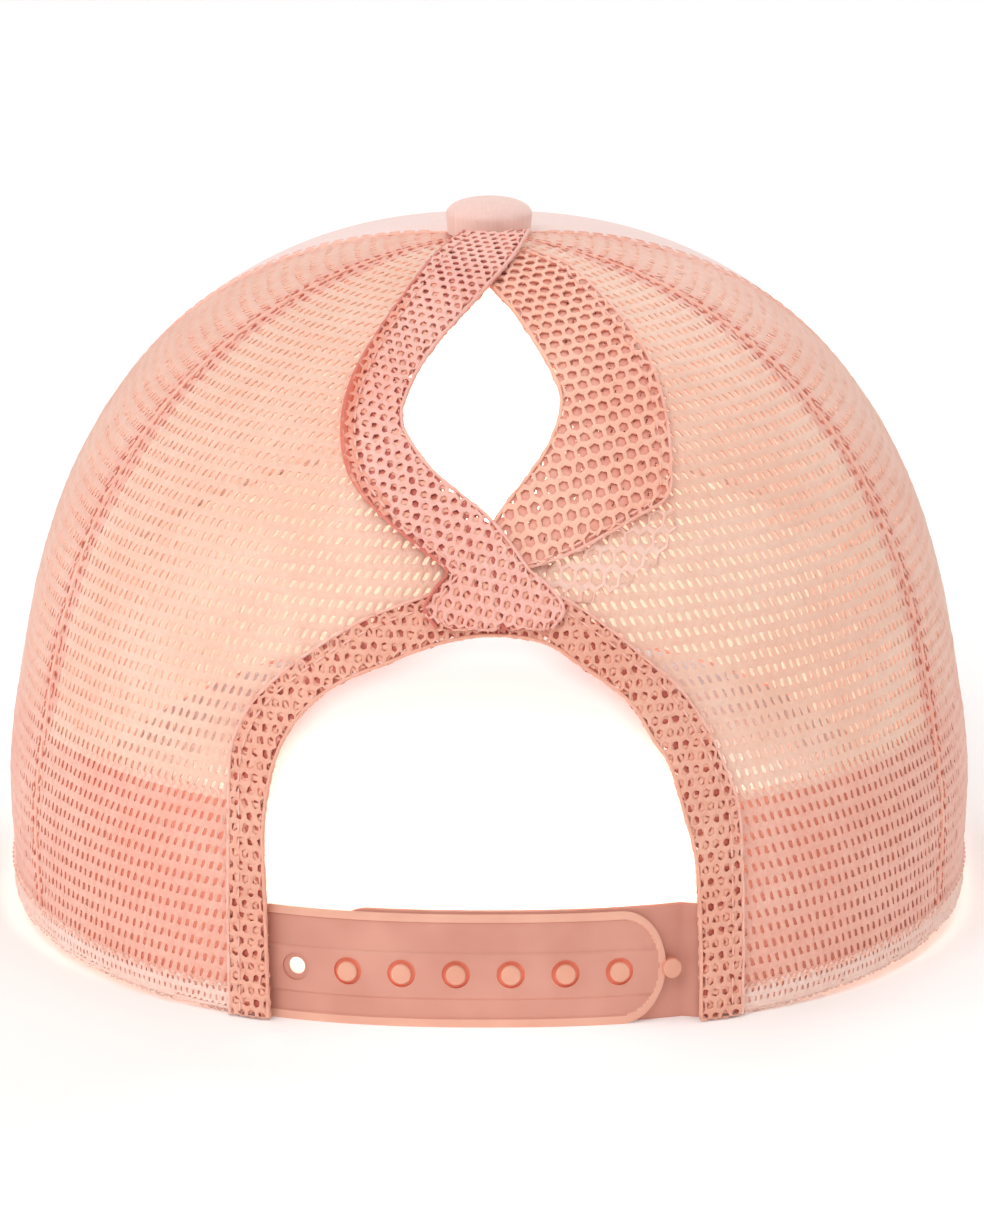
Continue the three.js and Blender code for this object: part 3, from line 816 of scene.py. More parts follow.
def rod(name, length, radius, steps, sides=8, flatness=1.0):
    """A straight round rod that starts at x = 0, cut into steps along its length."""
    bpy.ops.mesh.primitive_circle_add(vertices=sides, radius=radius, fill_type="NGON")
    bar = name_piece(name)
    with editing(bar):
        bpy.ops.transform.rotate(value=-math.pi / 2, orient_axis="Y", center_override=(0, 0, 0))
        bpy.ops.mesh.extrude_region_move(TRANSFORM_OT_translate={"value": (length, 0, 0)})
    ends = np.empty(2 * len(bar.data.edges), dtype=np.int32)
    bar.data.edges.foreach_get("vertices", ends)
    x = places(bar)[ends, 0].reshape(-1, 2)
    pick(bar, "edges", np.abs(x[:, 0] - x[:, 1]) > length / 2)
    with editing(bar, everything=False):
        bpy.ops.mesh.subdivide(number_cuts=steps - 1)
        bpy.ops.mesh.select_all(action="SELECT")
        bpy.ops.mesh.normals_make_consistent(inside=False)
    move_to(bar, places(bar) * [1, 1, flatness])
    return bar


def cord(name, path, finish, radius, flatness=1.0, step=1.2 * MM, sides=8):
    """A cord of yarn along a path. Subdividing numbers a rod's points in no fixed order, so the
    chance steps are given out by place, ring by ring, which makes the same cord in every run."""
    length = line_length(path[0])
    steps = max(4, round(length / step))
    bar = rod(name, length, radius, steps, sides, flatness)
    points = places(bar)
    order = np.lexsort(np.round(points / [length / steps, SORTING_STEP, SORTING_STEP]).T)
    points[order] += chance.normal(0, YARN_RISE_CHANCE, points.shape) * [0, 1, 1]
    move_to(bar, points)
    follow(bar, path)
    give(bar, finish)
    smooth(bar, CORD_SMOOTH)
    return bar


SORTING_STEP = 0.01 * MM
STITCH_PITCH, STITCH_LENGTH, STITCH_RADIUS = 2.9 * MM, 2.3 * MM, 0.24 * MM
HEM_STITCH = {"length": 2.0 * MM, "radius": 0.2 * MM}
STITCH_OUT = 0.05 * MM


def stitches(name, path, finish, pitch=STITCH_PITCH, length=STITCH_LENGTH, radius=STITCH_RADIUS):
    """A row of stitches along a path. One is modelled, and the rest are its copies."""
    bpy.ops.mesh.primitive_uv_sphere_add(segments=6, ring_count=5, radius=1)
    row = name_piece(name)
    with editing(row):
        bpy.ops.transform.rotate(value=-math.pi / 2, orient_axis="Y", center_override=(0, 0, 0))
        bpy.ops.transform.resize(value=(length / 2, radius, radius), center_override=(0, 0, 0))
        bpy.ops.transform.translate(value=(pitch / 2, 0, 0))
    repeat(row, max(1, int(line_length(path[0]) / pitch)), (pitch, 0, 0))
    follow(row, path)
    give(row, finish)
    smooth(row, CORD_SMOOTH)
    return row


def on_crown(turn, climb, out):
    """A line on the crown and its normals."""
    return skin(turn, climb, np.broadcast_to(out, np.shape(turn))), crown_normal(turn, climb)


def on_back(points, out):
    """A line on the back's cloth, given as x and height up the middle, and its normals."""
    return on_crown(*back_angles(*points.T), out)


def up_the_crown(turn, out, start=0.0, end=1.0):
    """A line up the crown at one turn, between two shares of its length."""
    lengths = up_lengths(turn)
    climb = np.interp(np.linspace(start, end, 120) * lengths[-1], lengths, CLIMBS)
    return on_crown(np.full(len(climb), turn), climb, out)


print("strips, cords and stitches ready")

# %% [markdown]
# ## Hems of the ponytail hole and the arch
# A hem is the panel's own net folded back, so two layers lie on each other and their cells seldom
# match. The holes then show yarn in shadow, and the under layer's yarn is painted darker and redder
# as painted shade between the layers, which is why hems look darker and redder than the panels.
# Each layer is cut from a honeycomb by the hem's outline, and points past the outline are drawn onto it.
# A cord of yarn makes the rounded fold, and a thinner one the cut edge. Where the cloth of a hem is
# bunched, a third layer lies between the two, and the outer edge can be rolled in. A rolled edge's
# yarn and a strip of the top layer beside it are painted darker, as painted shade in the fold.


# %% Cut net by an outline
def inside(outline, points):
    """Which points lie inside a closed outline, by counting the edges that a level line crosses."""
    x, y = points[:, 0:1], points[:, 1:2]
    x1, y1 = outline.T
    x2, y2 = np.roll(outline, -1, axis=0).T
    crosses = (y1 > y) != (y2 > y)
    slope = (x2 - x1) / np.where(y2 == y1, 1e-12, y2 - y1)
    return (crosses & (x < x1 + (y - y1) * slope)).sum(axis=1) % 2 == 1


def nearest_on(line, points, closed=True):
    """The nearest place on an outline, or on an open line, to each point."""
    start, end = (line, np.roll(line, -1, axis=0)) if closed else (line[:-1], line[1:])
    way = end - start
    apart = points[:, None] - start
    share = np.clip((apart * way).sum(-1) / np.maximum((way**2).sum(-1), 1e-12), 0, 1)
    near = start + share[..., None] * way
    best = np.linalg.norm(points[:, None] - near, axis=-1).argmin(axis=1)
    return near[np.arange(len(points)), best]


WIDE_CELL = (2.25 * MM, 2.8 * MM)
FINE_CELL = (1.75 * MM, 2.2 * MM)
HEM_YARN_WIDTH = 0.7 * MM
BACKING_YARN_SHARE = 0.9
HEM_HEIGHT_SHARE = 0.8
EDGE_CHANCE = 0.07 * MM
LAYER_GAP = 0.3 * MM
HEM_WALL = 1.2 * MM


def hem_layer(
        name, outline, out_at, finish, cell, grain=0.0, wall=0.8 * YARN_WALL,
        yarn_width=HEM_YARN_WIDTH, shift=(0.0, 0.0)):
    """One layer of net inside an outline on the back, its rows turned by the grain, and its area.
    out_at gives how far out it lies at each place."""
    pitch, row = cell
    low, high = outline.min(axis=0), outline.max(axis=0)
    reach = float(np.hypot(*(high - low))) + 2 * row
    net = honeycomb(name, reach, reach, pitch, row)
    to_middle = np.array([shift[0] * pitch, shift[1] * row - reach / 2, 0])
    middle = (low + high) / 2
    turned = np.array([[math.cos(grain), -math.sin(grain)], [math.sin(grain), math.cos(grain)]])

    def on_cloth(flat):
        """Places on the flat net as x and height up the middle."""
        return ((flat + to_middle)[:, :2] @ turned.T) * [-1, 1] + middle

    keep_cells(net, inside(outline, on_cloth(face_centres(net))))
    area = len(net.data.polygons) * pitch * row
    flat, rise = open_cells(net, yarn_width, HEM_HEIGHT_SHARE)
    points = on_cloth(flat)
    past = ~inside(outline, points)
    points[past] = nearest_on(outline, points[past]) + chance.normal(0, EDGE_CHANCE, (past.sum(), 2))
    move_to(net, skin(*back_angles(*points.T), out_at(points) + rise))
    give(net, finish)
    thicken(net, wall)
    return net, area


# %% The three hems
FOLD_RADIUS = 0.34 * MM
CUT_EDGE_RADIUS = 0.3 * MM
ROLL_RADIUS = 0.95 * MM
FOLD_SHADE_WIDTH = 2.6 * MM
roll_shade_yarn = yarn_finish("roll_shade_yarn", "F09478", "DE6C50")
fold_shade_yarn = yarn_finish("fold_shade_yarn", "FBB7A2", "EE9A83")
STITCHED_IN = 1.9 * MM


def rolled_edge(name, path):
    """A thicker roll of cloth that thins out to nothing at both ends, its yarn painted dark red as painted
    shade.
    """
    length = line_length(path[0])
    roll = rod(name, length, ROLL_RADIUS, 60)
    flat = places(roll)
    thick = np.sin(np.pi * np.clip(flat[:, 0] / length, 0.01, 0.99)) ** 0.6
    move_to(roll, flat * np.column_stack([np.ones_like(thick), thick, thick]))
    follow(roll, path)
    give(roll, roll_shade_yarn)
    smooth(roll, CORD_SMOOTH)
    return roll


def hem(name, node, inner, outer, finishes, cell, grain=0.0, layers=None, lace=0.0, rolled=None):
    """A folded hem between its inner and outer edge: layers of net, a fold and a cut edge.
    lace is the turn of an open layer between the two, where the folded cloth is bunched, and
    rolled says between which heights up the back its outer edge is rolled. Beside the roll the top
    layer is painted darker, as painted shade in the fold."""
    yarn, backing, cut_yarn = finishes
    layers = np.zeros(len(inner)) if layers is None else layers
    base = LAYER_GAP + layers * (HEM_WALL + LAYER_GAP)
    order = np.argsort(inner[:, 1])
    ups, bases = inner[order, 1], base[order]
    outline = np.vstack([inner, outer[::-1]])

    def under_out(points):
        return np.interp(points[:, 1], ups, bases) + YARN_WALL

    def top_out(points):
        """The top layer lies on the wall's outer side, and rolls down near the fold."""
        roll = HEM_WALL / 2
        fold_gap = np.linalg.norm(points - nearest_on(inner, points, closed=False), axis=1)
        sunk = roll - np.sqrt(roll**2 - (roll - np.minimum(fold_gap, roll)) ** 2)
        return np.interp(points[:, 1], ups, bases) + HEM_WALL - sunk

    top, area = hem_layer(name, outline, top_out, yarn, cell, grain)
    under, under_area = hem_layer(
        name + "_under", outline, under_out, backing, cell, -grain,
        yarn_width=BACKING_YARN_SHARE * cell[0], shift=(0.5, 0.35))
    pieces = [top, under]
    area += under_area
    if lace:
        middle, middle_area = hem_layer(
            name + "_lace", outline, lambda at: top_out(at) - YARN_WALL, hem_yarn, cell, lace,
            wall=0.6 * YARN_WALL, shift=(0.3, 0.6))
        pieces.append(middle)
        area += middle_area
    fold_path = on_back(inner, base + HEM_WALL / 2)
    edge_path = on_back(outer, base + HEM_WALL - CUT_EDGE_RADIUS)
    inwards = (inner - outer) / np.linalg.norm(outer - inner, axis=1)[:, None]
    row_path = on_back(outer + inwards * STITCHED_IN, base + HEM_WALL + STITCH_OUT)
    pieces.append(cord(name + "_fold", fold_path, yarn, FOLD_RADIUS, flatness=1.3))
    pieces.append(cord(name + "_edge", edge_path, cut_yarn, CUT_EDGE_RADIUS))
    pieces.append(stitches(name + "_row", row_path, edge_yarn, **HEM_STITCH))
    if rolled:
        part = (outer[:, 1] > rolled[0]) & (outer[:, 1] < rolled[1])
        roll_path = on_back(outer[part], (base + HEM_WALL - ROLL_RADIUS)[part])
        gaps = np.linalg.norm(face_centres(top)[:, None] - roll_path[0][None], axis=2).min(axis=1)
        # Beside the roll the top layer gets a darker yarn, which is painted shade in the fold.
        give(top, yarn, fold_shade_yarn, chosen=gaps < FOLD_SHADE_WIDTH)
        pieces.append(rolled_edge(name + "_roll", roll_path))
    whole = join(pieces, name)
    finish_piece(whole, "hem_net", node)


hem(
    "hem_hole_right", "ponytail_band_right", right_inner, right_outer,
    (hem_yarn, right_under_shade_yarn, edge_yarn), WIDE_CELL, math.radians(13), right_layer,
)
# On the left hem the cut edge gets the dark stitch thread, as painted shade along the outer fold.
hem(
    "hem_hole_left", "ponytail_band_left", left_inner, left_outer,
    (lace_yarn, left_under_shade_yarn, stitch_thread), FINE_CELL, math.radians(-14), left_layer, math.radians(31),
    rolled=(hem_up(0.02), hem_up(0.85)),
)
hem(
    "hem_arch", "arch_band", arch_inner, arch_outer,
    (arch_yarn, arch_under_shade_yarn, edge_yarn), FINE_CELL, lace=math.radians(24),
)

# %% The stretched net beside the crossing
PULLED_CELL = (2.5 * MM, 3.6 * MM)
PULLED_YARN_WIDTH = 0.62 * MM
PULLED_OUT = 0.35 * MM
PULLED_ROWS = [  # at, inner x, outer x, layer
    (0.03, -1.85, -2.16, 0),
    (-0.12, -1.3, -2.2, 0),
    (-0.3, -0.85, -2.1, 0),
    (-0.5, -0.55, -1.75, 0),
    (-0.7, -0.5, -1.25, 0),
]
pulled_yarn = yarn_finish("pulled_yarn", "FFE2D5", "FACBB9")


pulled_inner, pulled_outer, _ = ponytail_edges(PULLED_ROWS)
net_pulled, _ = hem_layer(
    "net_pulled", np.vstack([pulled_inner, pulled_outer[::-1]]), lambda at: PULLED_OUT, pulled_yarn,
    PULLED_CELL, math.radians(-8), wall=0.7 * YARN_WALL, yarn_width=PULLED_YARN_WIDTH)
finish_piece(net_pulled, "hem_net")
print(net_pulled.name, "has", len(net_pulled.data.polygons), "faces")

# %% [markdown]
# ## Seams of the crown
# Where two panels meet, their cut edges are turned in and pressed open, so a strip of doubled net
# lies behind each seam and makes it pinker. The strip is cut from a honeycomb as well. Over it runs the
# seam's own line of thread, sunk a little between the panels, with small stitches on each side of it.

# %% Seam strips behind the net
SEAM_DEPTH, SEAM_STRIP_DEPTH = 0.35 * MM, 0.72 * MM
GROOVE_RADIUS = 0.3 * MM
SEAM_STITCH = {"pitch": 2.1 * MM, "length": 1.1 * MM, "radius": 0.2 * MM}
BACK_SEAM_OUT, FRONT_SEAM_OUT = 0.02 * MM, -0.12 * MM
SEAM_ROW_BESIDE = 1.5 * MM


def seam_strip(name, turn):
    """A strip of net up the crown, as wide as the allowances on both sides of one seam."""
    total = up_lengths(turn)[-1]
    net = honeycomb(name, 2 * SEAM_ALLOWANCE + 2 * CELL_PITCH, total)
    move_to(net, places(net) + [CELL_PITCH / 2, CELL_ROW / 2, 0])
    x, up, _ = face_centres(net).T
    keep_cells(net, (np.abs(x) < seam_allowance(up / total)) & (up > 0) & (up < total - CELL_ROW / 2))
    flat, rise = open_cells(net)
    angles = panel_angles(turn, -flat[:, 0], np.clip(flat[:, 1], 0, total))
    move_to(net, skin(*angles, rise - SEAM_STRIP_DEPTH))
    give(net, hem_yarn)
    thicken(net, 0.8 * YARN_WALL)
    return net


def beside_seam(turn, beside, out):
    """A line that runs beside a seam, this far to its side on the cloth, and its normals."""
    up = np.linspace(0, 1, 120) * up_lengths(turn)[-1]
    taper = np.interp(up, [0, up[-1] * 0.8, up[-1]], [1, 1, 0.3])
    return on_crown(*panel_angles(turn, beside * taper, up), out)


def crown_seam(name, turn, thread, row_out):
    """A seam: a strip of doubled net inside, its thread line, and a row of stitches on each side."""
    groove = up_the_crown(turn, -SEAM_DEPTH / 2)
    pieces = [seam_strip(name, turn), cord(name + "_line", groove, hem_yarn, GROOVE_RADIUS)]
    for beside in (-SEAM_ROW_BESIDE, SEAM_ROW_BESIDE):
        path = beside_seam(turn, beside, row_out)
        pieces.append(stitches(name + "_row", path, thread, **SEAM_STITCH))
    finish_piece(join(pieces, name), "net")


# The back seams' stitches are real, and their darker thread is painted shade of the gaps along the seam. The
# front seams' stitches keep the pale yarn.
seam_shade_thread = yarn_finish("seam_shade_thread", "EE9C88", "D97866")
crown_seam("seam_back_left", BACK_SEAM, seam_shade_thread, BACK_SEAM_OUT)
crown_seam("seam_back_right", -BACK_SEAM, seam_shade_thread, BACK_SEAM_OUT)
crown_seam("seam_front_left", FRONT_SEAM, edge_yarn, FRONT_SEAM_OUT)
crown_seam("seam_front_right", -FRONT_SEAM, edge_yarn, FRONT_SEAM_OUT)

# %% [markdown]
# ## Hem of the rim
# The lower edge of the net is folded up by five millimetres. The fold's second layer lies on the
# panels as a paler strip of close, narrow cells. It is cut from a honeycomb that is as long as the rim.

# %% The folded strip
RIM_FOLD = 5.0 * MM
RIM_PITCH = 1.25 * MM
RIM_ROW = 1.75 * MM
RIM_YARN_WIDTH = 0.8 * MM
RIM_CORD_RADIUS = 0.35 * MM
RIM_STRIP_OUT, RIM_CORD_OUT, RIM_ROW_OUT = 0.1 * MM, -0.1 * MM, 0.45 * MM
RIM_ROW_FROM_EDGE = 0.9 * MM
foot_turns = {
    1: turn_beside(arch_outer[0, 0], climb_above(0.0, 10 * MM)),
    -1: turn_beside(arch_outer[-1, 0], climb_above(0.0, 10 * MM)),
}


def rim_line(from_turn, to_turn, rise, out):
    """A level line round the crown, this much above its rim, and its normals."""
    turn = np.linspace(from_turn, to_turn, 160)
    return on_crown(turn, climb_above(turn, rise), out)


def rim_fold(name, side):
    """The strip on one side, from the arch's foot to the front seam, with its fold and its stitches."""
    ends = sorted([side * FRONT_SEAM, float(foot_turns[side])])
    plan = np.interp(ends, TURNS, PLAN_LENGTHS)
    half = (plan[1] - plan[0]) / 2
    net = honeycomb(name, 2 * half, RIM_FOLD, RIM_PITCH, RIM_ROW)
    x, up, _ = face_centres(net).T
    keep_cells(net, (np.abs(x) < half) & (np.abs(up - RIM_FOLD / 2) < RIM_FOLD / 2))
    flat, rise = open_cells(net, RIM_YARN_WIDTH)
    turn = np.interp(plan.mean() - np.clip(flat[:, 0], -half, half), PLAN_LENGTHS, TURNS)
    up = np.clip(flat[:, 1], 0.1 * MM, RIM_FOLD)
    move_to(net, skin(turn, climb_above(turn, up), rise + YARN_CREST + RIM_STRIP_OUT))
    give(net, rim_yarn)
    thicken(net, 0.8 * YARN_WALL)
    fold_path = rim_line(*ends, RIM_CORD_RADIUS, RIM_CORD_OUT)
    row_path = rim_line(*ends, RIM_FOLD - RIM_ROW_FROM_EDGE, RIM_ROW_OUT)
    fold = cord(name + "_fold", fold_path, rim_yarn, RIM_CORD_RADIUS, flatness=1.2)
    row = stitches(name + "_row", row_path, hem_yarn, **HEM_STITCH)
    finish_piece(join([net, fold, row], name), "hem_net")


rim_fold("rim_fold_left", 1)
rim_fold("rim_fold_right", -1)

# %% [markdown]
# ## Sweatband
# A band of soft twill inside the rim takes up sweat. It is a flat strip with a wall and soft edges, laid
# round the inside. Towards the front it steps in, because the front panel is thicker than the net. Its
# top edge is overlocked: a thick thread loops over the edge, so that it can't fray.

# %% The band and its edge
NET_WALL = 1.2 * MM
FRONT_WALL = 2.0 * MM
BAND_WALL = 2.0 * MM
BAND_INSET = 0.6 * MM
EASE_TURN = math.radians(8)
BAND_END_GAP_TURN = 0.004
BAND_WAVE, BAND_WAVE_TOP = 0.25 * MM, 0.1 * MM
BAND_SUNK, BAND_THINNER = 0.15 * MM, 0.4 * MM
BAND_CORD_RADIUS = 0.75 * MM
BAND_LOOP = {"pitch": 1.9 * MM, "length": 1.0 * MM, "radius": 0.95 * MM}


def band_out(turn):
    """How far outside the skin the band's outer face lies, which is below zero."""
    share = soft_step(-np.cos(turn), -math.cos(FRONT_SEAM - EASE_TURN), -math.cos(FRONT_SEAM))
    return -mix(NET_WALL, FRONT_WALL, share) - LAYER_GAP


white_thread = yarn_finish("white_thread", "FFF6EC", "F8E6DA")


def sweatband():
    """The band, its overlocked top edge and the thread's loops over that edge. The band waves a
    little, as cloth does."""
    first = 2 * math.pi + float(foot_turns[-1]) - BAND_END_GAP_TURN
    last = float(foot_turns[1]) + BAND_END_GAP_TURN
    turn = np.linspace(first, last, 400)
    length = line_length(crown(turn, climb_above(turn, BAND_INSET)))
    band = ribbon("cloth_sweatband", length, BAND_HEIGHT - BAND_INSET, 260, 16)
    keep_cloth_places(band)
    flat = places(band)
    around = mix(first, last, flat[:, 0] / length)
    rise = flat[:, 1] + (BAND_HEIGHT + BAND_INSET) / 2
    wave = BAND_WAVE * np.sin(around * 31) * np.sin(rise / BAND_HEIGHT * 3)
    out = band_out(around) - BAND_SUNK + np.minimum(wave, BAND_WAVE_TOP)
    move_to(band, skin(around, climb_above(around, rise), out))
    give(band, band_cloth, band_face_cloth)
    apply_modifier(band, "SOLIDIFY", thickness=BAND_WALL - BAND_THINNER, offset=-1.0, material_offset=1)
    apply_modifier(band, "BEVEL", width=0.5 * MM, segments=2, limit_method="ANGLE")
    smooth(band, 50)
    edge_path = on_crown(turn, climb_above(turn, BAND_HEIGHT), band_out(turn) - BAND_WALL / 2)
    edge = cord("band_edge", edge_path, white_thread, BAND_CORD_RADIUS, flatness=1.2, step=2.4 * MM)
    loops = stitches("band_loops", edge_path, white_thread, **BAND_LOOP)
    whole = join([band, edge, loops], "cloth_sweatband")
    finish_piece(whole, "sweatband_cloth", "sweatband")
    print("sweatband is", round(length / MM), "mm long")


sweatband()

# %% [markdown]
# ## Front panel
# The front is one piece of smooth cloth on thin foam, lined with pale cloth. It starts as a flat
# grid, is laid on the crown and gets a wall, which stands for the foam. The wall's inner side has the
# lining's finish. The cap's stitches run up beside both front seams.

# %% The panel, its lining and its rows of stitches
FRONT_ROWS_BESIDE = (1.4 * MM, 5.6 * MM)
FRONT_STITCH_RADIUS, FRONT_STITCH_OUT = 0.17 * MM, 0.06 * MM


def front_panel():
    """The solid front, from the rim to the button, between the two front seams."""
    turns = (FRONT_SEAM, 2 * math.pi - FRONT_SEAM)
    width = float(np.diff(np.interp(turns, TURNS, PLAN_LENGTHS))[0])
    lengths = up_lengths(math.pi)
    height = lengths[-1]
    panel = ribbon("cloth_front", width, height, 90, 64)
    flat = places(panel)
    turn = mix(turns[1], turns[0], flat[:, 0] / width)
    climb = np.interp(flat[:, 1] + height / 2, lengths, CLIMBS)
    edge_gap = LAYER_GAP / 2 / (CROWN_WIDTH / 2)
    turn = np.clip(turn, turns[0] + edge_gap, turns[1] - edge_gap)
    keep_cloth_places(panel, np.column_stack([flat[:, 0] * np.cos(climb) ** 0.9, flat[:, 1]]))
    move_to(panel, skin(turn, climb, 0.0))
    give(panel, front_cloth, lining_cloth)
    apply_modifier(panel, "SOLIDIFY", thickness=FRONT_WALL - 0.2 * MM, offset=-1.0, material_offset=1)
    smooth(panel, 50)
    finish_piece(panel, "front_cloth", "front_panel")
    rows = []
    for number, beside in enumerate(FRONT_ROWS_BESIDE):
        for side in (1, -1):
            turn_in = side * (FRONT_SEAM + beside / (CROWN_WIDTH / 2))
            path = up_the_crown(turn_in, FRONT_STITCH_OUT, 0.02, 0.97)
            rows.append(stitches(f"front_row_{number}_{side}", path, edge_yarn, radius=FRONT_STITCH_RADIUS))
    row = join(rows, "front_stitches")
    finish_piece(row, "front_cloth")


front_panel()

# %% [markdown]
# ## Button
# The button on top is a metal cap covered with the front's cloth. A sphere is cut in half, its sides are
# made steeper, and its edge is drawn in at the foot.

# %% The covered button
BUTTON_RADIUS = 7.75 * MM
BUTTON_HEIGHT = 6.1 * MM
BUTTON_EDGE = 3.3 * MM
BUTTON_SUNK = 4.2 * MM
BUTTON_FOOT_RADIUS = 0.96 * BUTTON_RADIUS
BUTTON_DRAWN_IN, BUTTON_STEEPNESS = 0.9, 0.75
SHANK_RADIUS = 2.6 * MM
SHANK_LENGTH = 3.4 * MM


def covered_button():
    """The dome with its drawn-in foot, and the shank below it."""
    base = float(button_high[2]) - BUTTON_SUNK
    bpy.ops.mesh.primitive_uv_sphere_add(segments=48, ring_count=24, radius=1)
    dome = name_piece("cloth_button")
    with editing(dome):
        bpy.ops.mesh.bisect(plane_co=(0, 0, 0.001), plane_no=(0, 0, 1), clear_inner=True, use_fill=True)
        bpy.ops.mesh.extrude_region_move(TRANSFORM_OT_translate={"value": (0, 0, -0.35)})
        bpy.ops.transform.resize(value=(BUTTON_DRAWN_IN, BUTTON_DRAWN_IN, 1), center_override=(0, 0, 0))
    x, y, z = places(dome).T
    angle = np.arctan2(y, x)
    lift = np.clip(z, 0, 1)
    foot = z < -0.01
    at_foot = BUTTON_FOOT_RADIUS * np.hypot(x, y) / BUTTON_DRAWN_IN
    out = np.where(foot, at_foot, BUTTON_RADIUS * np.cos(np.arcsin(lift)) ** BUTTON_STEEPNESS)
    height = np.where(foot, 0, mix(BUTTON_EDGE, BUTTON_HEIGHT, lift))
    move_to(dome, np.column_stack([out * np.cos(angle), CROWN_Y + out * np.sin(angle), base + height]))
    bpy.ops.mesh.primitive_cylinder_add(
        radius=SHANK_RADIUS, depth=SHANK_LENGTH, vertices=24, location=(0, CROWN_Y, base - SHANK_LENGTH / 2))
    shank = name_piece("shank")
    bpy.ops.object.transform_apply(location=True)
    apply_modifier(shank, "BEVEL", width=0.4 * MM, segments=2, limit_method="ANGLE")
    for piece, degrees in ((dome, 60), (shank, 40)):
        keep_cloth_places(piece)
        give(piece, button_cloth)
        smooth(piece, degrees)
    finish_piece(join([dome, shank], "cloth_button"), "button_cloth", "button")
    print("button is", round(2 * BUTTON_RADIUS / MM, 1), "mm wide")


covered_button()

# %% [markdown]
# ## Peak
# The peak is a stiff board covered with cloth on both sides. Rows of stitches that run beside its
# outer edge hold cloth and board together. One function gives its upper face, arched from side to side,
# and the board, the rows of stitches and the edge cord all use it.

# %% The peak's form
PEAK_LENGTH = 68 * MM
PEAK_WALL = 3 * MM
PEAK_ROOT_TURN = math.radians(62)
PEAK_CORNER_OUT = 7 * MM
PEAK_CORNER_AHEAD = 18 * MM
PEAK_ROOT_COVER = 1.2 * MM
PEAK_SQUARENESS = 2.3


def peak_top(across, ahead):
    """The upper face of the peak: across from -1 to 1, ahead from its root at 0 to its edge at 1."""
    root = crown(math.pi + PEAK_ROOT_TURN * across, 0.0)
    root_top = root[:, 2] + PEAK_ROOT_COVER
    centre = np.array([0, CROWN_Y, 0])
    outwards = unit((root - centre) * [1, 1, 0])
    root = root + outwards * LAYER_GAP
    root_end = crown(math.pi - PEAK_ROOT_TURN, 0.0)
    half_width = root_end[0] + PEAK_CORNER_OUT
    corner = CROWN_Y - root_end[1] + PEAK_CORNER_AHEAD
    tip = CROWN_FRONT_LENGTH + PEAK_LENGTH
    bend = across * math.pi / 2
    edge = np.column_stack([
        -half_width * signed_power(np.sin(bend), 2 / PEAK_SQUARENESS),
        CROWN_Y - corner - (tip - corner) * np.abs(np.cos(bend)) ** (2 / PEAK_SQUARENESS),
    ])
    plan = mix(root[:, :2], edge, ahead[:, None])
    arched = mix(FRONT_RIM_RISE + PEAK_ROOT_COVER, PEAK_WALL, (plan[:, 0] / half_width) ** 2)
    height = mix(root_top, arched, np.sqrt(np.clip(ahead, 0, 1)))
    return np.column_stack([plan, height])


def peak_row(ahead, out, reach=1.0):
    """A line over the peak beside its edge, and its normals."""
    across = np.linspace(-reach, reach, 160)
    line = peak_top(across, np.full(len(across), ahead))
    before = peak_top(across, np.full(len(across), ahead - 0.02))
    along = np.gradient(line, axis=0)
    normals = unit(np.cross(along, line - before))
    normals *= np.sign(normals[:, 2:3])
    return line + normals * out, normals


# %% Board, edge cord and stitches
PEAK_ROWS = (0.12, 0.25, 0.38, 0.51, 0.64, 0.77, 0.9)
PEAK_CLOTH_STRETCH = 1.1
PEAK_CORD_RADIUS, PEAK_CORD_LOWEST = 1.45 * MM, 1.5 * MM


def peak():
    """The covered board with its edge cord, and the rows of stitches on it."""
    board = ribbon("cloth_peak", 2.0, 1.0, 130, 36)
    flat = places(board)
    ahead = (flat[:, 1] + 0.5) ** 0.9
    across = np.sin(np.clip(flat[:, 0] - 1, -1, 1) * math.pi / 2) * 0.3 + (flat[:, 0] - 1) * 0.7
    top = peak_top(across, ahead)
    keep_cloth_places(board, top * PEAK_CLOTH_STRETCH)
    move_to(board, top)
    apply_modifier(board, "SOLIDIFY", thickness=PEAK_WALL - 0.4 * MM, offset=-1.0)
    apply_modifier(board, "BEVEL", width=0.7 * MM, segments=3, limit_method="ANGLE")
    points = places(board)
    points[:, 2] = np.maximum(points[:, 2], 0.0)
    move_to(board, points)
    give(board, peak_cloth)
    smooth(board, 50)
    line, normals = peak_row(1.0, -PEAK_WALL / 2)
    line[:, 2] = np.maximum(line[:, 2], PEAK_CORD_LOWEST)
    edge = cord("peak_edge", (line, normals), peak_cloth, PEAK_CORD_RADIUS, sides=12, step=2 * MM)
    keep_cloth_places(edge)
    finish_piece(join([board, edge], "cloth_peak"), "peak_cloth", "peak")
    rows = [
        stitches(f"peak_row_{ahead_share}", peak_row(ahead_share, STITCH_OUT, reach=0.97), stitch_thread)
        for ahead_share in PEAK_ROWS
    ]
    finish_piece(join(rows, "peak_stitches"), "peak_cloth")


peak()

# %% [markdown]
# ## Snap strap
# The strap is moulded in two halves. The outer half has a raised rim, a raised middle and a row of
# holes, and the inner half carries the pegs. Both are shaped flat, as in their mould, and bent round
# the back afterwards. The holes are cut with a boolean while the strap is flat and the cut is simple.

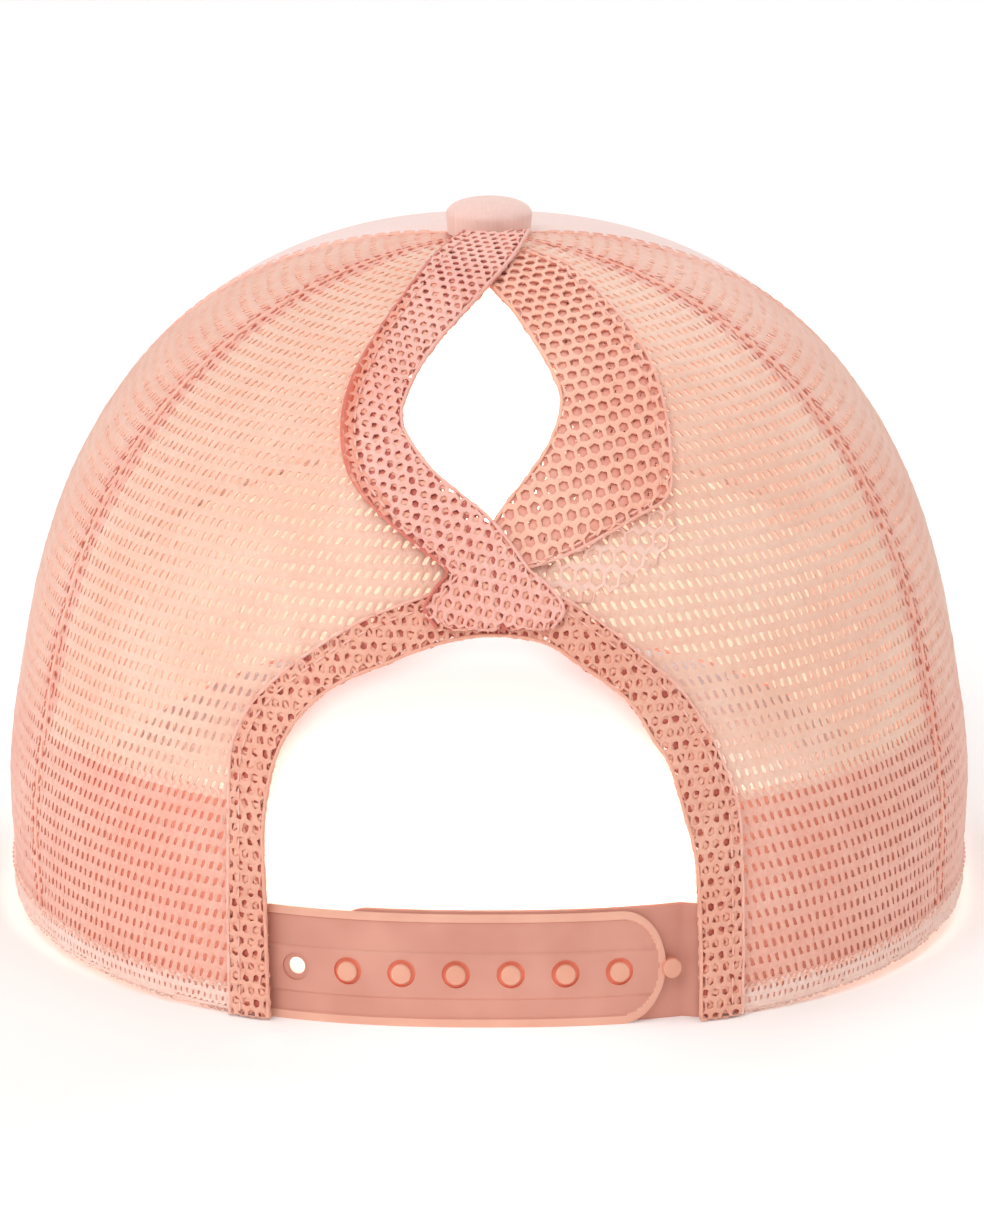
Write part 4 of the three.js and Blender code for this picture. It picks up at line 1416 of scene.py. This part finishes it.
# %% The strap's sizes and its line round the back
STRAP_WIDTH = 20.2 * MM
STRAP_PLATE = 1.0 * MM
STRAP_RELIEF, RELIEF_SLOPE = 0.4 * MM, 0.3 * MM
STRAP_END = 8.0 * MM
RIM_WIDTH = 1.7 * MM
MIDDLE_LOW, MIDDLE_HIGH = -5.2 * MM, 3.1 * MM
HOLE_RADIUS = 2.45 * MM
PAST_LAST_HOLE = 8.4 * MM
PEG_PITCH, PEG_COUNT = 9.5 * MM, 7
PEG_RADIUS, PEG_PROUD, PEG_DOWN = 1.75 * MM, 0.9 * MM, 0.6 * MM
PEG_OFF_MIDDLE, PAST_LAST_PEG = 1.0 * MM, 5 * MM
STEP_CLEARANCE, STEP_LENGTH = 0.6 * MM, 3.2 * MM
STRAP_SMOOTH = 35
OUTER_FACE = -(NET_WALL + LAYER_GAP)
UNDER_FACE = OUTER_FACE - STRAP_RELIEF - STRAP_PLATE - LAYER_GAP

strap_turns = np.radians(np.arange(-60, 60.5, 0.5))
strap_plan = crown(strap_turns, climb_above(strap_turns, np.full(len(strap_turns), STRAP_WIDTH / 2)))
strap_plan[:, 2] = STRAP_WIDTH / 2
strap_along = lengths_along(strap_plan[:, :2])
strap_along -= np.interp(0.0, strap_turns, strap_along)


def strap_path(from_along, to_along, out):
    """The path round the back at half the strap's height and this far out, and the lengths along a
    strap half that come to its points. Its ends are given as lengths from the middle of the back."""
    along = np.linspace(from_along, to_along, 200)
    line = read_along(strap_along, strap_plan, along)
    ahead = np.gradient(line, axis=0)
    normals = unit(np.column_stack([-ahead[:, 1], ahead[:, 0], 0 * along]))
    normals *= np.sign(normals[:, 1:2])
    return (line + normals * out, normals), np.abs(along - from_along)


def peg_place(number):
    """How far from the middle a peg stands. Number 0 is free, and the last hole has none."""
    return PEG_OFF_MIDDLE + PEG_PITCH * (number - PEG_COUNT / 2)


def foot_along(side):
    return float(np.interp(foot_turns[side], strap_turns, strap_along))


# %% A flat strap half with one round end
def strap_edge_gap(x, y, length):
    """How far places on a strap half are from its edge."""
    radius = STRAP_WIDTH / 2
    past = np.maximum(x - (length - STRAP_END), 0) * radius / STRAP_END
    return radius - np.hypot(past, y)


def strap_plate(name, length, relief):
    """A flat plate from x = 0 to its round end. relief says how high its face stands at a point."""
    plate = ribbon(name, length, 2, 190, 84)
    flat = places(plate)
    straight = length - STRAP_END
    end_angle = np.clip((flat[:, 0] - straight) / STRAP_END, 0, 1) * math.radians(86)
    x = np.where(flat[:, 0] > straight, straight + STRAP_END * np.sin(end_angle), flat[:, 0])
    y = flat[:, 1] * STRAP_WIDTH / 2 * np.cos(end_angle)
    move_to(plate, np.column_stack([x, y, relief(y, strap_edge_gap(x, y, length))]))
    apply_modifier(plate, "SOLIDIFY", thickness=STRAP_PLATE, offset=-1.0)
    points = places(plate)
    back = points[:, 2] < -0.7 * STRAP_PLATE
    points[back, 2] = -STRAP_PLATE
    move_to(plate, points)
    return plate


def outer_relief(y, from_edge):
    """A raised rim all round, and a raised middle."""
    rim = 1 - soft_step(from_edge, RIM_WIDTH - RELIEF_SLOPE, RIM_WIDTH)
    rim *= soft_step(from_edge, -0.1 * MM, 0.5 * MM) * 0.3 + 0.7
    off_middle = np.abs(y - (MIDDLE_LOW + MIDDLE_HIGH) / 2)
    half = (MIDDLE_HIGH - MIDDLE_LOW) / 2
    middle = 1 - soft_step(off_middle, half - RELIEF_SLOPE, half)
    return STRAP_RELIEF * np.maximum(rim, middle)


def round_bar(name, x, radius, low, high, sides):
    """A round bar through the strap's face, between two heights over its mould."""
    bpy.ops.mesh.primitive_cylinder_add(
        radius=radius, depth=high - low, vertices=sides, location=(x, -PEG_DOWN, (low + high) / 2))
    bar = name_piece(name)
    bpy.ops.object.transform_apply(location=True)
    return bar


# %% The outer half, with its holes
LEDGE_RADIUS = 1.55 * MM
LEDGE_DEPTH = 0.1 * MM
rim_highlight_finish = plastic_finish("rim_highlight_finish", "F0B8A0", "E6A892")
peg_shadow_finish = plastic_finish("peg_shadow_finish", "FB967A", "EE8468")


def outer_strap():
    """The half with holes. Each hole has a ledge inside, which the peg's head snaps over. The
    walls of the holes that hold a peg are painted orange-red, as painted shadow round the peg,
    and the raised rim is painted paler, as a painted highlight.
    """
    start, end = foot_along(1), peg_place(1) - PAST_LAST_HOLE
    length = start - end
    plate = strap_plate("strap_outer", length, outer_relief)
    for radius, low in ((HOLE_RADIUS, -LEDGE_DEPTH), (LEDGE_RADIUS, -3 * MM)):
        cutters = [
            round_bar(f"hole_{number}", start - peg_place(number), radius, low, 3 * MM, 28)
            for number in range(1, PEG_COUNT + 1)
        ]
        cutter = join(cutters, "hole_cutter")
        apply_modifier(plate, "BOOLEAN", object=cutter, operation="DIFFERENCE", solver="EXACT")
        bpy.data.objects.remove(cutter)
    centres = face_centres(plate)
    # Painted highlight on the raised rim, and painted shadow on the walls of the holes that hold a peg.
    rim_highlight_faces = strap_edge_gap(centres[:, 0], centres[:, 1], length) < RIM_WIDTH - 0.15 * MM
    from_hole = np.min([
        np.hypot(centres[:, 0] - (start - peg_place(number)), centres[:, 1] + PEG_DOWN)
        for number in range(1, PEG_COUNT)
    ], axis=0)
    peg_shadow_faces = (from_hole < HOLE_RADIUS + 0.02 * MM) & (centres[:, 2] < 0.95 * STRAP_RELIEF)
    give(plate, strap_plastic, rim_highlight_finish, peg_shadow_finish)
    finish_index = np.where(peg_shadow_faces, 2, np.where(rim_highlight_faces, 1, 0)).astype(np.int32)
    plate.data.polygons.foreach_set("material_index", finish_index)
    follow(plate, *strap_path(start, end, OUTER_FACE - STRAP_RELIEF))
    smooth(plate, STRAP_SMOOTH)
    finish_piece(plate, "strap_plastic", "strap_with_holes")


# %% The inner half, with its pegs
def inner_strap():
    """The half with pegs. It steps inwards where it goes under the outer half."""
    start, end = foot_along(-1), peg_place(PEG_COUNT - 1) + PAST_LAST_PEG
    length = end - start
    step_at = (peg_place(0) - PEG_RADIUS - STEP_CLEARANCE) - start

    def stepped(x, from_edge):
        """How far out the half stands: level with the outer half, and then sunk under it."""
        out = (OUTER_FACE - UNDER_FACE) * (1 - soft_step(x, step_at - STEP_LENGTH, step_at))
        return out - 0.15 * MM * (1 - soft_step(from_edge, 0.0, 0.4 * MM))

    plate = strap_plate("strap_inner", length, lambda y, from_edge: 0 * y)
    points = places(plate)
    edge_distance = STRAP_WIDTH / 2 - np.abs(points[:, 1])
    points[:, 2] += stepped(points[:, 0], edge_distance)
    points[:, 0] *= -1
    move_to(plate, points)
    with editing(plate):
        bpy.ops.mesh.flip_normals()
    give(plate, strap_plastic)
    smooth(plate, STRAP_SMOOTH)
    pegs = []
    for number in range(PEG_COUNT):
        top = OUTER_FACE - UNDER_FACE + PEG_PROUD
        foot = STRAP_PLATE + LAYER_GAP - LEDGE_DEPTH + 0.05 * MM
        at = start - peg_place(number)
        neck = round_bar(f"neck_{number}", at, LEDGE_RADIUS - 0.1 * MM, -0.5 * MM, foot + 0.1 * MM, 24)
        head = round_bar(f"peg_{number}", at, PEG_RADIUS, foot, top, 24)
        apply_modifier(head, "BEVEL", width=0.4 * MM, segments=4, limit_method="ANGLE")
        for bar in (neck, head):
            give(bar, peg_plastic)
            smooth(bar, 50)
        pegs += [neck, head]
    whole = join([plate] + pegs, "strap_inner")
    move_to(whole, places(whole) + [length, 0, 0])
    follow(whole, *strap_path(end, start, UNDER_FACE))
    finish_piece(whole, "strap_plastic", "strap_with_pegs")


outer_strap()
inner_strap()
print("strap halves ready")

# %% [markdown]
# ## Nets as cloth
# Each net panel was cut flat and is stretched over the crown. The size of each flat panel is printed.

for node, (net, flat_size, area) in panels.items():
    print(net.name, "was cut", [round(side / MM) for side in flat_size], "mm")

# %% [markdown]
# ## Floor, light and camera
# The cap stands on a plain pale floor. The light is that of a product picture: a white room and four
# large soft lights, from behind the camera, from the side, from the front and from above. The camera is
# far away with a long lens, as the photograph's flat perspective tells, and looks down a little.

# %% Floor and light
bpy.ops.mesh.primitive_plane_add(size=12)
floor = name_piece("floor")
floor_finish = Finish("floor_paint", roughness=0.8, specular=0.2)
floor_tone = floor_finish.noise(floor_finish.places.outputs["Object"], 0.6)
give(floor, floor_finish.done(floor_finish.blend(floor_tone, linear("FAF9F8"), linear("FCFBFB"))))

world = bpy.data.worlds.new("white_room")
bpy.context.scene.world = world
world.use_nodes = True
background = world.node_tree.nodes["Background"]
background.inputs["Color"].default_value = linear("FFFDFB")
background.inputs["Strength"].default_value = 0.68
bpy.context.scene.view_settings.view_transform = "Standard"


def turn_towards(place, aim):
    """The rotation of a light at a place that shines at a point."""
    way = [a - p for a, p in zip(aim, place)]
    return math.atan2(math.hypot(way[0], way[1]), -way[2]), 0, math.atan2(-way[0], way[1])


CAP_MIDDLE = (0, 0.03, 0.06)


def add_light(name, kind, place, power, aim=CAP_MIDDLE, colour=(1.0, 1.0, 1.0), **settings):
    """A light of one kind at a place, turned towards a point, with more settings of its own."""
    bpy.ops.object.light_add(type=kind, location=place, rotation=turn_towards(place, aim))
    light = bpy.context.active_object
    light.name = name
    light.data.energy = power
    light.data.color = colour
    for key, value in settings.items():
        setattr(light.data, key, value)
    return light


for name, place, size, power in (
    ("key_light", (0.6, 1.3, 1.3), 0.9, 8),
    ("left_light", (1.5, 0.3, 0.6), 0.8, 3),
    ("front_light", (-0.7, -1.4, 1.2), 0.9, 6),
    ("top_light", (0, 0.2, 2.2), 1.6, 5),
):
    add_light(name, "AREA", place, power, size=size)
    print(name, "is", round(math.dist(place, CAP_MIDDLE), 2), "m from the cap")


# %% Camera
PHOTO_WIDTH, PHOTO_HEIGHT = 984, 1231
SUBJECT = (0, CROWN_Y, 60 * MM)
SUBJECT_PIXEL = (489, 555)
CAMERA_DISTANCE = 1.40
CAMERA_ELEVATION = math.radians(14)
FOCAL_PIXELS = 7717
SENSOR = 36.0
turned_right = math.atan2(PHOTO_WIDTH / 2 - SUBJECT_PIXEL[0], FOCAL_PIXELS)
turned_down = math.atan2(PHOTO_HEIGHT / 2 - SUBJECT_PIXEL[1], FOCAL_PIXELS)
camera_place = (
    SUBJECT[0],
    SUBJECT[1] + CAMERA_DISTANCE * math.cos(CAMERA_ELEVATION),
    SUBJECT[2] + CAMERA_DISTANCE * math.sin(CAMERA_ELEVATION),
)
camera_turn = (math.pi / 2 - CAMERA_ELEVATION - turned_down, 0, math.pi - turned_right)
bpy.ops.object.camera_add(location=camera_place, rotation=camera_turn)
camera = bpy.context.active_object
camera.name = "camera"
camera.data.sensor_width = SENSOR
camera.data.lens = FOCAL_PIXELS / PHOTO_HEIGHT * SENSOR
camera.data.clip_start = 0.05
bpy.context.scene.camera = camera
print("lens", round(camera.data.lens, 1), "mm")

# %% [markdown]
# ## Light on single pieces
# In the photograph both openings are white, and the net's shadow hardly darkens what lies behind it. So
# a wide light reaches the floor alone. A narrow one shines through the arch and reaches only the floor
# behind it, and one through the ponytail hole reaches only the front panel with its lining. Inside the
# cap, a narrow spot brightens the sweatband, and weak warm lights make up for light that the net would
# let through. The sweatband gets a little from outside too.

# %% Light on the floor, and through the openings
OPENING_LIGHT_DISTANCE = 1.5
OPENING_LIGHTS = [  # name, power, radius, aim, reach
    ("arch_light", 245, 28 * MM, (0, CROWN_Y + CROWN_BACK_LENGTH, 62 * MM), 57 * MM),
    ("hole_light", 330, 5 * MM, (1.3 * MM, CROWN_Y - 7 * MM, 87 * MM), 25 * MM),
]
COOL_WHITE, WARM, WARM_WHITE, ROSE = (0.9, 0.95, 1.0), (1.0, 0.72, 0.56), (1.0, 0.76, 0.64), (1.0, 0.62, 0.5)
lining, band = bpy.data.objects["cloth_front"], bpy.data.objects["cloth_sweatband"]


def shines_on(light, piece, through_others=False):
    """Lets a light reach this piece alone, also where another piece would shade it."""
    reached = bpy.data.collections.new(light.name + "_reaches")
    reached.objects.link(piece)
    light.light_linking.receiver_collection = reached
    if through_others:
        light.light_linking.blocker_collection = reached


floor_light = add_light("floor_light", "SUN", (0, 0, 2), 0.35, (0, 0, 0), angle=math.radians(60))
shines_on(floor_light, floor)
behind_camera = OPENING_LIGHT_DISTANCE / CAMERA_DISTANCE
opening_place = [s + (c - s) * behind_camera for s, c in zip(SUBJECT, camera_place)]
for (name, power, radius, aim, reach), piece in zip(OPENING_LIGHTS, (floor, lining)):
    opening_light = add_light(
        name, "SPOT", opening_place, power, aim, COOL_WHITE, shadow_soft_size=radius,
        spot_size=2 * math.atan(reach / OPENING_LIGHT_DISTANCE), spot_blend=0.12)
    shines_on(opening_light, piece)
    print(name, "spreads", round(math.degrees(opening_light.data.spot_size), 1), "degrees")

# %% Light inside the cap, and on the sweatband
INNER_PLACE = (0, CROWN_Y + 10 * MM, 60 * MM)
band_light = add_light(
    "band_light", "SPOT", (0, CROWN_Y + 60 * MM, 81 * MM), 2.4, (0, CROWN_Y - CROWN_FRONT_LENGTH, 49 * MM),
    shadow_soft_size=3 * MM, spot_size=math.radians(11), spot_blend=0.4)
band_light.visible_camera = False
shines_on(band_light, band)
for name, power, piece, colour in (
    ("inner_floor_light", 0.28, floor, WARM_WHITE),
    ("inner_lining_light", 0.06, lining, WARM),
    ("inner_band_light", 0.04, band, WARM),
):
    inner_light = add_light(name, "POINT", INNER_PLACE, power, colour=colour, shadow_soft_size=20 * MM)
    inner_light.visible_camera = False
    shines_on(inner_light, piece)
band_back_light = add_light("band_back_light", "AREA", (0.3, 1.4, 0.8), 9, colour=ROSE, size=0.9)
shines_on(band_back_light, band, through_others=True)
print("lights:", len(bpy.data.lights))
